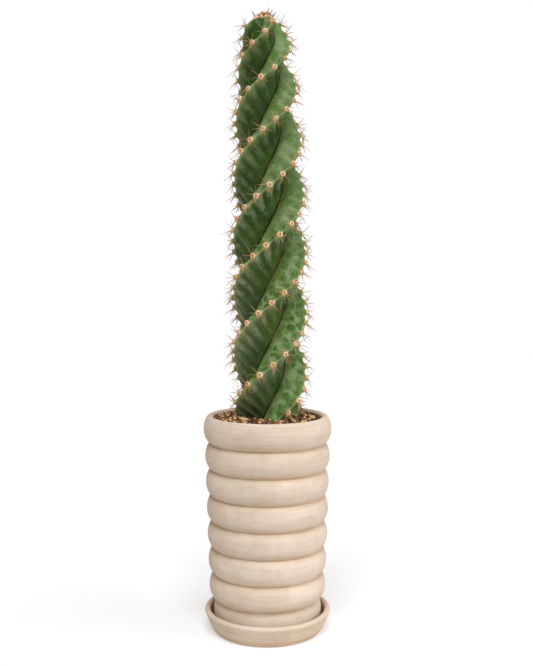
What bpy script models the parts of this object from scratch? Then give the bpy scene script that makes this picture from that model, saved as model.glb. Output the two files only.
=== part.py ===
"""A potted spiral cactus: one tall stem of four ribs that wind round it, in a ringed clay pot on its saucer.

Metres, +Z up. The origin is the middle of the saucer's underside, which stands level at z = 0.
Run it with blender --background --python part.py, or from Blender's text editor.
"""

import math
import random

import bmesh
import bpy
from mathutils import Matrix, Vector

CLEARANCE = 0.0003
TURN_STEPS = 40

# Saucer.
SAUCER_BASE_RADIUS = 0.0625
SAUCER_RIM_RADIUS = 0.0745
SAUCER_HEIGHT = 0.0262
SAUCER_WALL = 0.0066
SAUCER_FLOOR = 0.0070
SAUCER_WALL_POWER = 0.65
SAUCER_WALL_SEGMENTS = 4
SAUCER_RIM_SEGMENTS = 6

# Pot: turned rings of one height from the rim down. The lowest one is slimmer and stands in the saucer.
RING_COUNT = 8
RING_HEIGHT = 0.0309
TOP_BELLY_HEIGHT = 0.2390
TOP_BELLY_RADIUS = 0.0756
SECOND_BELLY_RADIUS = 0.0738
LOWEST_BELLY_RADIUS = 0.0692
FOOT_BELLY_RADIUS = 0.0642
GROOVE_DEPTH = 0.0056
FOOT_GROOVE_DEPTH = 0.0030
RING_ARC = 66.0
HALF_RING_SEGMENTS = 3
FOOT_RADIUS = 0.0602
FOOT_ROUNDING = 0.0010
POT_FLOOR = 0.0100
CAVITY_FLOOR_RADIUS = 0.0560
CAVITY_ROUNDING = 0.0060
DRAIN_RADIUS = 0.0090
RIM_HEIGHT = 0.2555
RIM_CROWN_RADIUS = 0.0690
RIM_INNER_RADIUS = 0.0640
RIM_INNER_DROP = 0.0030
RIM_INNER_SEGMENTS = 3

# Soil: filled to just under the rim, with a level seat for the stem.
SOIL_LEVEL = 0.2522
SOIL_SEAT_RADIUS = 0.0460
SOIL_EDGE_DROP = 0.0010
SOIL_LUMP = 0.0012
SOIL_OUTER_RINGS = 4
SOIL_SEED = 7

# Stem: the ribs' crests reach the stem's radius, and their valleys a share of it. Seen from above, a rib's upper
# flank turns through less of the round than its lower one, so each rib hangs over the valley above it.
RIBS = 4
STEM_FOOT = SOIL_LEVEL + CLEARANCE
STEM_TOP = 0.7160
STEM_RADIUS = 0.0432
STEM_FOOT_RADIUS = 0.0375
STEM_FLARE_HEIGHT = 0.0280
TAPER_START = 0.4300
TAPER_SHAPE = 1.4
TAPER_POWER = 0.22
VALLEY_SHARE = 0.457
UPPER_FLANK_ANGLE = 32.0
CREST_ROUNDING_SHARE = 0.11
CREST_ARC = 62.0
CREST_ARC_SEGMENTS = 2
FLANK_SEGMENTS = 2
FLANK_BULGE_SHARE = 0.06
AXIS_AT_FOOT = 0.0026
AXIS_LEAN = -0.0061
AXIS_LEAN_POWER = 3.0
STEM_LEVELS = 50
LEVEL_EASE = 0.6
SHARP_ANGLE = 40.0

# Twist of the ribs, in degrees for each millimetre of height, and a height where a crest faces the front.
# The very tip runs straight. Each rib stands a few degrees off its even place, and the ribs lie wider apart at
# the front than elsewhere. Each swing is a number of waves round the stem, a size in degrees, and the angle from
# the front where it spreads the ribs most.
TWIST_BELOW_MIDDLE = 1.308
TWIST_AT_TIP = 2.40
TWIST_EASE = 2.4
STRAIGHT_TIP = 0.030
FRONT_CREST_HEIGHT = 0.4534
RIB_TURNS = (-2.6, -1.9, 0.8, 3.6)
RIB_SWINGS = ((1, 11.5, 13.7), (2, 3.7, -9.5))

# Areoles: woolly cushions along every crest, each with a long spine and two short ones.
# Each rib has its own spacing, and its own height above the stem's foot for the lowest one.
AREOLE_STEPS = (0.01197, 0.01146, 0.01149, 0.01228)
FIRST_AREOLES = (0.0095, 0.0102, 0.0089, 0.0107)
LAST_AREOLE = 0.0050
CUSHION_SIDES = 4
CUSHION_RADIUS = 0.0030
CUSHION_TOP_RADIUS = 0.0017
CUSHION_DEPTH = 0.0040
CUSHION_HEIGHT = 0.0016
LONG_SPINE = 0.0135
SHORT_SPINE = 0.0085
SPINE_RADIUS = 0.0006
LONG_SPINE_LEAN = 20.0
SHORT_SPINE_LEAN = 55.0
SHORT_SPINE_SPREAD = 50.0
AREOLE_AIM_STEP = 0.001

# Tuft of wool and young spines at the growing tip.
TUFT_SIDES = 6
TUFT_FOOT = 0.7080
TUFT_RADIUS = 0.0066
TUFT_TOP_RADIUS = 0.0028
TUFT_HEIGHT = 0.0135
TUFT_REACH = 0.0184
TUFT_SPINE_RADIUS = 0.0006
TUFT_SIDE_SPINE = 0.0095
TUFT_LEAN = 35.0

CLAY = (0.74, 0.62, 0.48)
CLAY_SHADE = (0.70, 0.58, 0.45)
SOIL_BROWN = (0.14, 0.08, 0.04)
CACTUS_GREEN = (0.085, 0.130, 0.040)


def clear_scene():
    for obj in list(bpy.data.objects):
        bpy.data.objects.remove(obj, do_unlink=True)


def material(name, colour, roughness, metallic=0.0):
    made = bpy.data.materials.new(name)
    made.use_nodes = True
    shader = made.node_tree.nodes["Principled BSDF"]
    shader.inputs["Base Color"].default_value = (*colour, 1.0)
    shader.inputs["Roughness"].default_value = roughness
    shader.inputs["Metallic"].default_value = metallic
    return made


def object_from(name, mesh, finish):
    obj = bpy.data.objects.new(name, mesh)
    obj.data.materials.append(finish)
    bpy.context.scene.collection.objects.link(obj)
    return obj


def turned(name, profile, closed, finish):
    """A piece turned about Z from (radius, height) points that run down its outer side."""
    mesh = bpy.data.meshes.new(name)
    points = [(radius, 0.0, height) for radius, height in profile]
    edges = [(i, i + 1) for i in range(len(points) - 1)]
    if closed:
        edges.append((len(points) - 1, 0))
    mesh.from_pydata(points, edges, [])
    obj = object_from(name, mesh, finish)
    screw = obj.modifiers.new("turn", "SCREW")
    screw.steps = TURN_STEPS
    screw.render_steps = TURN_STEPS
    screw.use_merge_vertices = True
    screw.merge_threshold = 0.0001
    screw.use_smooth_shade = True
    return obj


def arc(centre, radii, start, end, segments):
    """Points of an elliptical arc of (radius, height), between two angles in degrees."""
    points = []
    for i in range(segments + 1):
        angle = math.radians(start + (end - start) * i / segments)
        points.append((centre[0] + radii[0] * math.cos(angle), centre[1] + radii[1] * math.sin(angle)))
    return points


def make_saucer(finish):
    """A dish whose wall leans out from the base to a rounded rim."""
    round_off = SAUCER_WALL / 2
    rim = (SAUCER_RIM_RADIUS - round_off, SAUCER_HEIGHT - round_off)
    inner_wall = rim[0] - round_off
    profile = [(0.0, SAUCER_FLOOR), (inner_wall - CAVITY_ROUNDING / 2, SAUCER_FLOOR)]
    profile.append((inner_wall - CAVITY_ROUNDING / 8, SAUCER_FLOOR + CAVITY_ROUNDING / 4))
    profile += arc(rim, (round_off, round_off), 180, 0, SAUCER_RIM_SEGMENTS)
    for i in range(SAUCER_WALL_SEGMENTS - 1, -1, -1):
        share = i / SAUCER_WALL_SEGMENTS
        spread = (SAUCER_RIM_RADIUS - SAUCER_BASE_RADIUS) * share**SAUCER_WALL_POWER
        profile.append((SAUCER_BASE_RADIUS + spread, rim[1] * share))
    profile.append((0.0, 0.0))
    return turned("saucer", profile, False, finish)


def belly_radius(ring):
    """Radius of a ring's belly, counted from 0 at the rim."""
    if ring == 0:
        return TOP_BELLY_RADIUS
    if ring == RING_COUNT - 1:
        return FOOT_BELLY_RADIUS
    share = (ring - 1) / (RING_COUNT - 3)
    return SECOND_BELLY_RADIUS + (LOWEST_BELLY_RADIUS - SECOND_BELLY_RADIUS) * share


def groove_radius(ring):
    """Radius at the bottom of the groove under a ring."""
    if ring == RING_COUNT - 1:
        return FOOT_RADIUS
    depth = FOOT_GROOVE_DEPTH if ring == RING_COUNT - 2 else GROOVE_DEPTH
    return belly_radius(ring + 1) - depth


def bow(edge, belly, middle, rise, start, end):
    """Points of half a ring between two angles in degrees, from an edge radius out to its belly or back.

    A point stands at (cos u - cos U) / (1 - cos U) of the way out and at sin u / sin U of the rise, where U is the
    ring's arc, so the rings meet in open grooves.
    """
    full = math.radians(max(abs(start), abs(end)))
    points = []
    for i in range(HALF_RING_SEGMENTS + 1):
        angle = math.radians(start + (end - start) * i / HALF_RING_SEGMENTS)
        out = (math.cos(angle) - math.cos(full)) / (1.0 - math.cos(full))
        points.append((edge + (belly - edge) * out, middle + rise * math.sin(angle) / math.sin(full)))
    return points


def ring_profile():
    """Each ring as two bows, from the rim's crown, where the first one starts level, down to the foot."""
    profile = []
    above = RIM_CROWN_RADIUS
    rise = RIM_HEIGHT - TOP_BELLY_HEIGHT
    upper_arc = 90.0
    for ring in range(RING_COUNT):
        belly = belly_radius(ring)
        below = groove_radius(ring)
        middle = TOP_BELLY_HEIGHT - ring * RING_HEIGHT
        profile += bow(above, belly, middle, rise, upper_arc, 0)[:-1]
        profile += bow(below, belly, middle, RING_HEIGHT / 2, 0, -RING_ARC)[:-1]
        above = below
        rise = RING_HEIGHT / 2
        upper_arc = RING_ARC
    return profile


def pot_base():
    return SAUCER_FLOOR + CLEARANCE


def cavity_floor():
    return pot_base() + POT_FLOOR


def cavity_radius(height):
    """Radius of the pot's inner wall, which leans evenly from its floor to the rim."""
    share = (height - cavity_floor()) / (RIM_HEIGHT - RIM_INNER_DROP - cavity_floor())
    return CAVITY_FLOOR_RADIUS + (RIM_INNER_RADIUS - CAVITY_FLOOR_RADIUS) * share


def make_pot(finish):
    """Rings outside, a plain leaning wall inside, and a drain hole in the floor."""
    base = pot_base()
    floor = cavity_floor()
    profile = ring_profile()
    profile.append((FOOT_RADIUS, base + FOOT_ROUNDING))
    profile.append((FOOT_RADIUS - FOOT_ROUNDING, base))
    profile.append((DRAIN_RADIUS, base))
    profile.append((DRAIN_RADIUS, floor))
    profile.append((CAVITY_FLOOR_RADIUS - CAVITY_ROUNDING, floor))
    profile.append((cavity_radius(floor + CAVITY_ROUNDING / 3) - CAVITY_ROUNDING / 3, floor + CAVITY_ROUNDING / 3))
    profile.append((cavity_radius(floor + CAVITY_ROUNDING), floor + CAVITY_ROUNDING))
    lip = RIM_CROWN_RADIUS - RIM_INNER_RADIUS
    seat = (RIM_CROWN_RADIUS, RIM_HEIGHT - RIM_INNER_DROP)
    profile += arc(seat, (lip, RIM_INNER_DROP), 180, 90, RIM_INNER_SEGMENTS)[:-1]
    return turned("pot", profile, True, finish)


def soil_ring(bm, radius, height):
    verts = []
    for i in range(TURN_STEPS):
        angle = math.tau * i / TURN_STEPS
        verts.append(bm.verts.new((radius * math.cos(angle), radius * math.sin(angle), height)))
    return verts


def make_soil(finish):
    """Fills the pot's cavity: a level seat under the stem, and lumps from there out to the wall."""
    rng = random.Random(SOIL_SEED)
    floor = cavity_floor() + CLEARANCE
    bend = floor + CAVITY_ROUNDING
    edge = SOIL_LEVEL - SOIL_EDGE_DROP
    sizes = [(CAVITY_FLOOR_RADIUS - CAVITY_ROUNDING - CLEARANCE, floor), (cavity_radius(bend) - 2 * CLEARANCE, bend)]
    sizes.append((cavity_radius(edge) - CLEARANCE, edge))
    outer = sizes[-1][0]
    for i in range(1, SOIL_OUTER_RINGS + 1):
        share = i / SOIL_OUTER_RINGS
        sizes.append((outer + (SOIL_SEAT_RADIUS - outer) * share, edge + SOIL_EDGE_DROP * share))
    bm = bmesh.new()
    rings = [soil_ring(bm, radius, height) for radius, height in sizes]
    for ring in rings[3:-1]:
        for vert in ring:
            vert.co.z -= rng.uniform(0.0, SOIL_LUMP)
    for lower, upper in zip(rings, rings[1:]):
        for i in range(TURN_STEPS):
            j = (i + 1) % TURN_STEPS
            bm.faces.new((lower[i], lower[j], upper[j], upper[i]))
    bm.faces.new(rings[0][::-1])
    bm.faces.new(rings[-1])
    mesh = bpy.data.meshes.new("soil")
    bm.to_mesh(mesh)
    bm.free()
    return object_from("soil", mesh, finish)


def crest_radius(height):
    """Radius to the crests: flared from the foot, then steady, then a dome that closes at the top."""
    flare = min((height - STEM_FOOT) / STEM_FLARE_HEIGHT, 1.0)
    radius = STEM_FOOT_RADIUS + (STEM_RADIUS - STEM_FOOT_RADIUS) * math.sin(flare * math.pi / 2)
    rise = max((height - TAPER_START) / (STEM_TOP - TAPER_START), 0.0)
    return radius * (1.0 - min(rise, 1.0) ** TAPER_SHAPE) ** TAPER_POWER


def axis_offset(height):
    """How far the stem's middle stands to the side, along X: upright below, and leaning more and more above."""
    share = (height - STEM_FOOT) / (STEM_TOP - STEM_FOOT)
    return AXIS_AT_FOOT + AXIS_LEAN * share**AXIS_LEAN_POWER


def twist(height):
    """Turn of the ribs in radians, even at first, then faster, then dying away at the tip, from mid-height."""
    half = (STEM_TOP - STEM_FOOT) / 2
    last = max(height - (STEM_TOP - STRAIGHT_TIP), 0.0)
    place = (height - last * last / (2 * STRAIGHT_TIP) - STEM_FOOT - half) / half
    faster = (TWIST_AT_TIP - TWIST_BELOW_MIDDLE) * max(place, 0.0) ** (TWIST_EASE + 1) / (TWIST_EASE + 1)
    return math.radians((TWIST_BELOW_MIDDLE * place + faster) * half * 1000)


def rib_angle(rib, height):
    """Direction of a crest seen from above. An even rib faces the front, along -Y, at the stated height."""
    from_front = math.tau * rib / RIBS + math.radians(RIB_TURNS[rib]) + twist(height) - twist(FRONT_CREST_HEIGHT)
    angle = from_front - math.pi / 2
    for waves, size, widest in RIB_SWINGS:
        angle += math.radians(size) * math.sin(waves * (from_front - math.radians(widest)))
    return angle


def flank(start, end, bulge):
    """Points from the start to just before the end, bowed outwards by the bulge halfway."""
    run = end - start
    outward = Vector((run.y, -run.x)).normalized()
    points = []
    for i in range(FLANK_SEGMENTS):
        share = i / FLANK_SEGMENTS
        points.append(start + run * share + outward * bulge * 4 * share * (1 - share))
    return points


def polar(radius, degrees):
    return Vector((radius * math.cos(math.radians(degrees)), radius * math.sin(math.radians(degrees))))


def rib_gap(rib, height):
    """Angle from one rib's crest to the next one's, as a share of the even spacing."""
    following = rib_angle((rib + 1) % RIBS, height)
    return ((following - rib_angle(rib, height)) % math.tau) * RIBS / math.tau


def rib_outline(radius, gap_above=1.0, gap_below=1.0):
    """One rib's blade about the X axis, from the valley above it to just before the valley below it."""
    above = polar(radius * VALLEY_SHARE, -UPPER_FLANK_ANGLE * gap_above)
    below = polar(radius * VALLEY_SHARE, (360.0 / RIBS - UPPER_FLANK_ANGLE) * gap_below)
    rounding = radius * CREST_ROUNDING_SHARE
    crest = arc((radius - rounding, 0.0), (rounding, rounding), -CREST_ARC, CREST_ARC, CREST_ARC_SEGMENTS)
    bulge = radius * FLANK_BULGE_SHARE
    upper = flank(above, Vector(crest[0]), bulge)
    lower = flank(Vector(crest[-1]), below, bulge)
    return upper + crest + lower[1:]


def stem_heights():
    """Heights of the stem's sections, closer together at the foot and at the tip."""
    heights = []
    for i in range(STEM_LEVELS):
        share = i / STEM_LEVELS
        eased = share - LEVEL_EASE * math.sin(math.tau * share) / math.tau
        heights.append(STEM_FOOT + (STEM_TOP - STEM_FOOT) * eased)
    return heights


def stem_body(finish):
    """The ribbed stem by itself, from its flat cut at the soil to its closed tip."""
    bm = bmesh.new()
    rings = []
    for height in stem_heights():
        radius = crest_radius(height)
        ring = []
        for rib in range(RIBS):
            turn = Matrix.Rotation(rib_angle(rib, height), 2)
            for point in rib_outline(radius, rib_gap((rib - 1) % RIBS, height), rib_gap(rib, height)):
                place = turn @ Vector(point)
                ring.append(bm.verts.new((place.x + axis_offset(height), place.y, height)))
        rings.append(ring)
    count = len(rings[0])
    for lower, upper in zip(rings, rings[1:]):
        for i in range(count):
            j = (i + 1) % count
            bm.faces.new((lower[i], lower[j], upper[j], upper[i]))
    bm.faces.new(rings[0][::-1])
    tip = bm.verts.new((axis_offset(STEM_TOP), 0.0, STEM_TOP))
    for i in range(count):
        bm.faces.new((rings[-1][i], rings[-1][(i + 1) % count], tip))
    mesh = bpy.data.meshes.new("stem")
    bm.to_mesh(mesh)
    bm.free()
    return object_from("stem", mesh, finish)


def face_towards(bm, aim):
    """The face whose middle lies furthest along a direction."""
    return max(bm.faces, key=lambda face: face.calc_center_median().dot(aim))


def draw_out_spine(bm, face, tip, radius):
    """Draws one face out to a tip, first narrowed to a spine's thickness where a radius is given."""
    if radius:
        middle = face.calc_center_median()
        reach = min(((edge.verts[0].co + edge.verts[1].co) / 2 - middle).length for edge in face.edges)
        bmesh.ops.inset_individual(bm, faces=[face], thickness=reach - radius)
    bmesh.ops.poke(bm, faces=[face])["verts"][0].co = tip


def leaning(angle, around):
    """A direction that leans from Z by one angle, towards another one about Z, both in degrees."""
    lean = math.radians(angle)
    turn = math.radians(around)
    return Vector((math.sin(lean) * math.cos(turn), math.sin(lean) * math.sin(turn), math.cos(lean)))


def areole_mesh():
    """A four-sided cushion sunk in the skin, with a long spine from its top and a short one from each upper side."""
    bm = bmesh.new()
    bmesh.ops.create_cone(
        bm,
        cap_ends=True,
        segments=CUSHION_SIDES,
        radius1=CUSHION_RADIUS,
        radius2=CUSHION_TOP_RADIUS,
        depth=CUSHION_DEPTH,
        matrix=Matrix.Translation((0.0, 0.0, CUSHION_HEIGHT - CUSHION_DEPTH / 2)),
    )
    top = face_towards(bm, Vector((0.0, 0.0, 1.0)))
    shorts = [leaning(SHORT_SPINE_LEAN, around) for around in (SHORT_SPINE_SPREAD, -SHORT_SPINE_SPREAD)]
    sides = [face_towards(bm, aim) for aim in shorts]
    draw_out_spine(bm, top, leaning(LONG_SPINE_LEAN, 180.0) * LONG_SPINE, SPINE_RADIUS)
    for side, aim in zip(sides, shorts):
        draw_out_spine(bm, side, aim * SHORT_SPINE, 0.0)
    mesh = bpy.data.meshes.new("areole")
    bm.to_mesh(mesh)
    bm.free()
    return mesh


def tuft_mesh():
    """A woolly knob with one upright spine and a ring of leaning ones."""
    bm = bmesh.new()
    bmesh.ops.create_cone(
        bm,
        cap_ends=True,
        segments=TUFT_SIDES,
        radius1=TUFT_RADIUS,
        radius2=TUFT_TOP_RADIUS,
        depth=TUFT_HEIGHT,
        matrix=Matrix.Translation((0.0, 0.0, TUFT_HEIGHT / 2)),
    )
    top = face_towards(bm, Vector((0.0, 0.0, 1.0)))
    sides = [face for face in bm.faces if abs(face.normal.z) < 0.9]
    draw_out_spine(bm, top, Vector((0.0, 0.0, TUFT_REACH)), TUFT_SPINE_RADIUS)
    for side in sides:
        middle = side.calc_center_median()
        around = math.degrees(math.atan2(middle.y, middle.x))
        tip = middle + leaning(TUFT_LEAN, around) * TUFT_SIDE_SPINE
        draw_out_spine(bm, side, tip, TUFT_SPINE_RADIUS)
    mesh = bpy.data.meshes.new("tuft")
    bm.to_mesh(mesh)
    bm.free()
    return mesh


def areole_frame(rib, height):
    """Placement on a crest: local Z looks outwards, and local X runs up along the crest."""
    here = crest_point(rib, height)
    along = (crest_point(rib, height + AREOLE_AIM_STEP) - here).normalized()
    radial = Vector((math.cos(rib_angle(rib, height)), math.sin(rib_angle(rib, height)), 0.0))
    outward = (radial - along * radial.dot(along)).normalized()
    side = outward.cross(along)
    turn = Matrix((along, side, outward)).transposed().to_4x4()
    return Matrix.Translation(here) @ turn


def crest_point(rib, height):
    radius = crest_radius(height)
    angle = rib_angle(rib, height)
    return Vector((radius * math.cos(angle) + axis_offset(height), radius * math.sin(angle), height))


def areole_heights(rib):
    """Evenly spaced heights up one crest."""
    start = STEM_FOOT + FIRST_AREOLES[rib]
    step = AREOLE_STEPS[rib]
    count = int((STEM_TOP - LAST_AREOLE - start) / step) + 1
    return [start + i * step for i in range(count)]


def spiny_parts(finish):
    """The collection of everything that joins the stem: an areole for each step of each crest, and the tuft."""
    group = bpy.data.collections.new("spiny parts")
    bpy.context.scene.collection.children.link(group)
    areole = areole_mesh()
    areole.materials.append(finish)
    for rib in range(RIBS):
        for height in areole_heights(rib):
            one = bpy.data.objects.new("areole", areole)
            one.matrix_world = areole_frame(rib, height)
            group.objects.link(one)
    tuft = tuft_mesh()
    tuft.materials.append(finish)
    crown = bpy.data.objects.new("tuft", tuft)
    crown.location = (axis_offset(STEM_TOP), 0.0, TUFT_FOOT)
    group.objects.link(crown)
    return group


def join_by_union(body, group):
    """Joins a collection to the body by one Boolean union, applies it, and removes the collection's objects."""
    union = body.modifiers.new("join", "BOOLEAN")
    union.operation = "UNION"
    union.operand_type = "COLLECTION"
    union.collection = group
    union.solver = "EXACT"
    bpy.context.view_layer.update()
    graph = bpy.context.evaluated_depsgraph_get()
    joined = bpy.data.meshes.new_from_object(body.evaluated_get(graph))
    joined.name = body.name
    body.modifiers.clear()
    body.data = joined
    for obj in list(group.objects):
        bpy.data.objects.remove(obj, do_unlink=True)
    bpy.data.collections.remove(group)


def make_stem(finish):
    """The stem with its areoles, spines and tuft in one solid."""
    stem = stem_body(finish)
    join_by_union(stem, spiny_parts(finish))
    stem.data.shade_smooth()
    stem.data.set_sharp_from_angle(angle=math.radians(SHARP_ANGLE))
    return stem


def main():
    clear_scene()
    make_saucer(material("saucer clay", CLAY_SHADE, 0.75))
    make_pot(material("pot clay", CLAY, 0.75))
    make_soil(material("soil", SOIL_BROWN, 0.95))
    make_stem(material("cactus skin", CACTUS_GREEN, 0.55))


main()
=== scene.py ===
"""Looks of the potted spiral cactus: a stem of four ribs that wind round it, in a ringed clay pot on its saucer.

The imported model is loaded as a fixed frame. Each of its four nodes is replaced by a finer surface of the same
shape, and the areoles, the spines, the wool at the tip and the grains of the soil are added as joined meshes.
Everything is in metres, +Z up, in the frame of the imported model. Angles seen from above turn from +X towards +Y.
"""

import logging
import math
from dataclasses import dataclass, field
from enum import Enum
from functools import cache

import bpy
import numpy as np
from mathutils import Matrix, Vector
from numpy.typing import NDArray


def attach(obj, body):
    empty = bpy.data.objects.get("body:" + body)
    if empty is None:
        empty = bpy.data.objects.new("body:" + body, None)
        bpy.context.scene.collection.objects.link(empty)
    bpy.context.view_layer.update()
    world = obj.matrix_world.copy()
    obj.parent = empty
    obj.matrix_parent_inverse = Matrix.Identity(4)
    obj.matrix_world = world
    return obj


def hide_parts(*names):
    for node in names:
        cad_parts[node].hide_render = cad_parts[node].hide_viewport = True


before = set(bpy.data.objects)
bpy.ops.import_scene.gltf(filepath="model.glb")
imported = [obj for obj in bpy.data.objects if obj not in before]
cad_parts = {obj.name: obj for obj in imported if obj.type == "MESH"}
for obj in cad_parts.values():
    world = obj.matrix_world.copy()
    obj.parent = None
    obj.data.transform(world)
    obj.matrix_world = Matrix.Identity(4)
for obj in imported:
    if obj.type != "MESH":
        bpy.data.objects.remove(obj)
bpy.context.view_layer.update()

log = logging.getLogger("potted spiral cactus")

Floats = NDArray[np.float64]
Numbers = NDArray[np.int64]
Point = Floats | tuple[float, float, float]

TAU = math.tau
BODY = "root"
LEVEL = np.array([1.0, 1.0, 0.0])


# Meshes as arrays.


@dataclass
class Surface:
    """One mesh as arrays, before Blender gets it.

    Attributes:
        points: The vertices, one row of x, y and z each.
        quads: Vertex numbers of the four-sided faces, counter-clockwise seen from outside.
        triangles: Vertex numbers of the three-sided faces, turned the same way.
        marks: Named values at the vertices, for materials to read.
        quad_finish: Number of the finish that each four-sided face takes.
        triangle_finish: Number of the finish that each three-sided face takes.
    """

    points: Floats
    quads: Numbers = field(default_factory=lambda: np.zeros((0, 4), dtype=np.int64))
    triangles: Numbers = field(default_factory=lambda: np.zeros((0, 3), dtype=np.int64))
    marks: dict[str, Floats] = field(default_factory=dict)
    quad_finish: Numbers | None = None
    triangle_finish: Numbers | None = None

    def finish_numbers(self) -> Numbers:
        """Numbers of the finishes of all faces, the four-sided ones first.

        Returns:
            One number for each face.
        """
        four = np.zeros(len(self.quads), np.int64) if self.quad_finish is None else self.quad_finish
        three = np.zeros(len(self.triangles), np.int64) if self.triangle_finish is None else self.triangle_finish
        return np.concatenate([four, three])


def joined(*values: Floats | float) -> Floats:
    """Numbers side by side along a new last axis, such as x, y and z as points, each spread to the common shape."""
    return np.stack(np.broadcast_arrays(*values), axis=-1)


def sheet_of(points: Floats) -> Surface:
    """Makes a grid of points that closes round one surface.

    Row i and column j meet row i + 1 and column j + 1 in a face, and the last column meets the first. Where the rows
    run up and the columns run counter-clockwise seen from above, the faces look outwards.

    Args:
        points: Grid of shape (rows, columns, 3).

    Returns:
        The surface, with its vertices numbered row by row.
    """
    rows, columns = points.shape[:2]
    here = np.arange(rows * columns).reshape(rows, columns)
    beside = np.roll(here, -1, axis=1)
    return Surface(points.reshape(-1, 3), joined(here[:-1], beside[:-1], beside[1:], here[1:]).reshape(-1, 4))


def fan(ring: Numbers, middle: int, upwards: bool) -> Numbers:
    """Triangles that close a counter-clockwise ring with one middle vertex.

    Args:
        ring: Vertex numbers round the ring.
        middle: Number of the middle vertex.
        upwards: Whether the triangles look up, and otherwise down.

    Returns:
        One row of three vertex numbers for each side of the ring.
    """
    beside = np.roll(ring, -1)
    centre = np.full(len(ring), middle)
    order = (ring, beside, centre) if upwards else (beside, ring, centre)
    return np.stack(order, axis=-1)


def column_of(points: Floats, foot: Point, tip: Point) -> Surface:
    """Makes a grid of rings a closed body, with a fan at its foot and one at its tip.

    Args:
        points: Grid of rings from the lowest to the highest, of shape (rows, columns, 3).
        foot: The point in the middle of the lowest ring.
        tip: The point in the middle of the highest ring.

    Returns:
        The closed surface. Its last two vertices are the foot and the tip.
    """
    columns = points.shape[1]
    body = sheet_of(points)
    count = len(body.points)
    body.points = np.vstack([body.points, foot, tip])
    lowest = fan(np.arange(columns), count, upwards=False)
    highest = fan(np.arange(count - columns, count), count + 1, upwards=True)
    body.triangles = np.vstack([lowest, highest])
    return body


def polar(radius: Floats | float, angle: Floats, height: Floats | float) -> Floats:
    """Points seen from above at a radius and an angle: x = r cos a, y = r sin a, z = h."""
    return joined(radius * np.cos(angle), radius * np.sin(angle), height)


def turned(profile: Floats, columns: int) -> Floats:
    """Points of a profile turned about Z: x = r cos a, y = r sin a, z = h, for every r and h of the profile.

    Args:
        profile: Rows of radius and height, which run up the outer side.
        columns: Number of steps round.

    Returns:
        Grid of shape (rows, columns, 3).
    """
    return polar(profile[:, :1], TAU * np.arange(columns) / columns, profile[:, 1:])


def ring_body(points: Floats) -> Surface:
    """Makes a grid whose last row repeats its first a closed body with a hole through it, by joining the two rows.

    Args:
        points: Grid of shape (rows, columns, 3).

    Returns:
        The closed surface.
    """
    body = sheet_of(points)
    kept = len(body.points) - points.shape[1]
    return Surface(body.points[:kept], body.quads % kept)


def copies(shape: Surface, frames: Floats, places: Floats, points: Floats | None = None) -> Surface:
    """Sets many copies of one small shape: each point becomes frame times point, plus place.

    Args:
        shape: The small shape.
        frames: One 3 by 3 matrix for each copy, with its size in it.
        places: One point for each copy.
        points: Points of each copy where they differ, of shape (copies, points, 3).

    Returns:
        All copies as one surface.
    """
    count, quads = len(places), len(shape.quads)
    own = shape.points[None] if points is None else points
    moved = np.einsum("nij,nkj->nki", frames, np.broadcast_to(own, (count, *own.shape[1:]))) + places[:, None]
    step = (np.arange(count) * len(shape.points))[:, None, None]
    numbers = shape.finish_numbers()
    return Surface(
        moved.reshape(-1, 3),
        (shape.quads + step).reshape(-1, 4),
        (shape.triangles + step).reshape(-1, 3),
        quad_finish=np.tile(numbers[:quads], count),
        triangle_finish=np.tile(numbers[quads:], count),
    )


def unit(vectors: Floats) -> Floats:
    """Vectors brought to length one."""
    return vectors / np.maximum(np.linalg.norm(vectors, axis=-1, keepdims=True), 1e-12)


def aimed(axes: Floats, rng: np.random.Generator) -> Floats:
    """Frames whose Z runs along the given directions and whose X points to a random side, one 3 by 3 matrix each."""
    side = unit(np.cross(axes, unit(rng.normal(size=axes.shape))))
    return joined(side, np.cross(axes, side), axes)


def slender(frames: Floats, radius: Floats | float, length: Floats) -> Floats:
    """Frames sized for a thin shape: X and Y times its radius, and Z times its length."""
    return frames * joined(radius, radius, length)[:, None]


def carried(frames: Floats, vectors: Floats) -> Floats:
    """Vectors turned by a frame each."""
    return np.einsum("nij,nj->ni", frames, vectors)


def normals_of(grid: Floats) -> Floats:
    """Outward directions on a grid that closes round: the step to the next column crossed with the step up.

    Args:
        grid: Points of shape (rows, columns, 3), with rows that run up and columns that run counter-clockwise.

    Returns:
        One direction of length one for each point.
    """
    around = np.roll(grid, -1, axis=1) - np.roll(grid, 1, axis=1)
    up = np.gradient(grid, axis=0)
    return unit(np.cross(around, up))


def ease(values: Floats, start: float, end: float) -> Floats:
    """Smooth step: 0 up to the start, 1 from the end on, and t squared times (3 - 2 t) between them."""
    share = np.clip((values - start) / (end - start), 0.0, 1.0)
    return share * share * (3.0 - 2.0 * share)


def bell(values: Floats, width: float) -> Floats:
    """A smooth hump: 1 at 0, and e to the power of minus one at the width."""
    return np.exp(-((values / width) ** 2))


def table_rows(corner: Numbers) -> Numbers:
    """A row number below 4096 for each lattice corner, scrambled so that neighbours get unrelated rows."""
    return ((corner[..., 0] * 73856093) ^ (corner[..., 1] * 19349663) ^ (corner[..., 2] * 83492791)) % 4096


def lumps(points: Floats, size: float, seed: int) -> Floats:
    """Smooth random values between -1 and 1: a random number at each corner of a cubic lattice, eased between them.

    Args:
        points: Any array whose last axis holds x, y and z.
        size: Distance between the lattice's corners.
        seed: Number that picks the random values.

    Returns:
        One value for each point.
    """
    table = np.random.default_rng(seed).uniform(-1.0, 1.0, 4096)
    scaled = points / size
    corner = np.floor(scaled).astype(np.int64)
    inside = scaled - corner
    inside = inside * inside * (3.0 - 2.0 * inside)
    total = np.zeros(points.shape[:-1])
    for step in np.ndindex(2, 2, 2):
        share = np.prod(np.where(step, inside, 1.0 - inside), axis=-1)
        total += share * table[table_rows(corner + np.array(step))]
    return total


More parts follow.
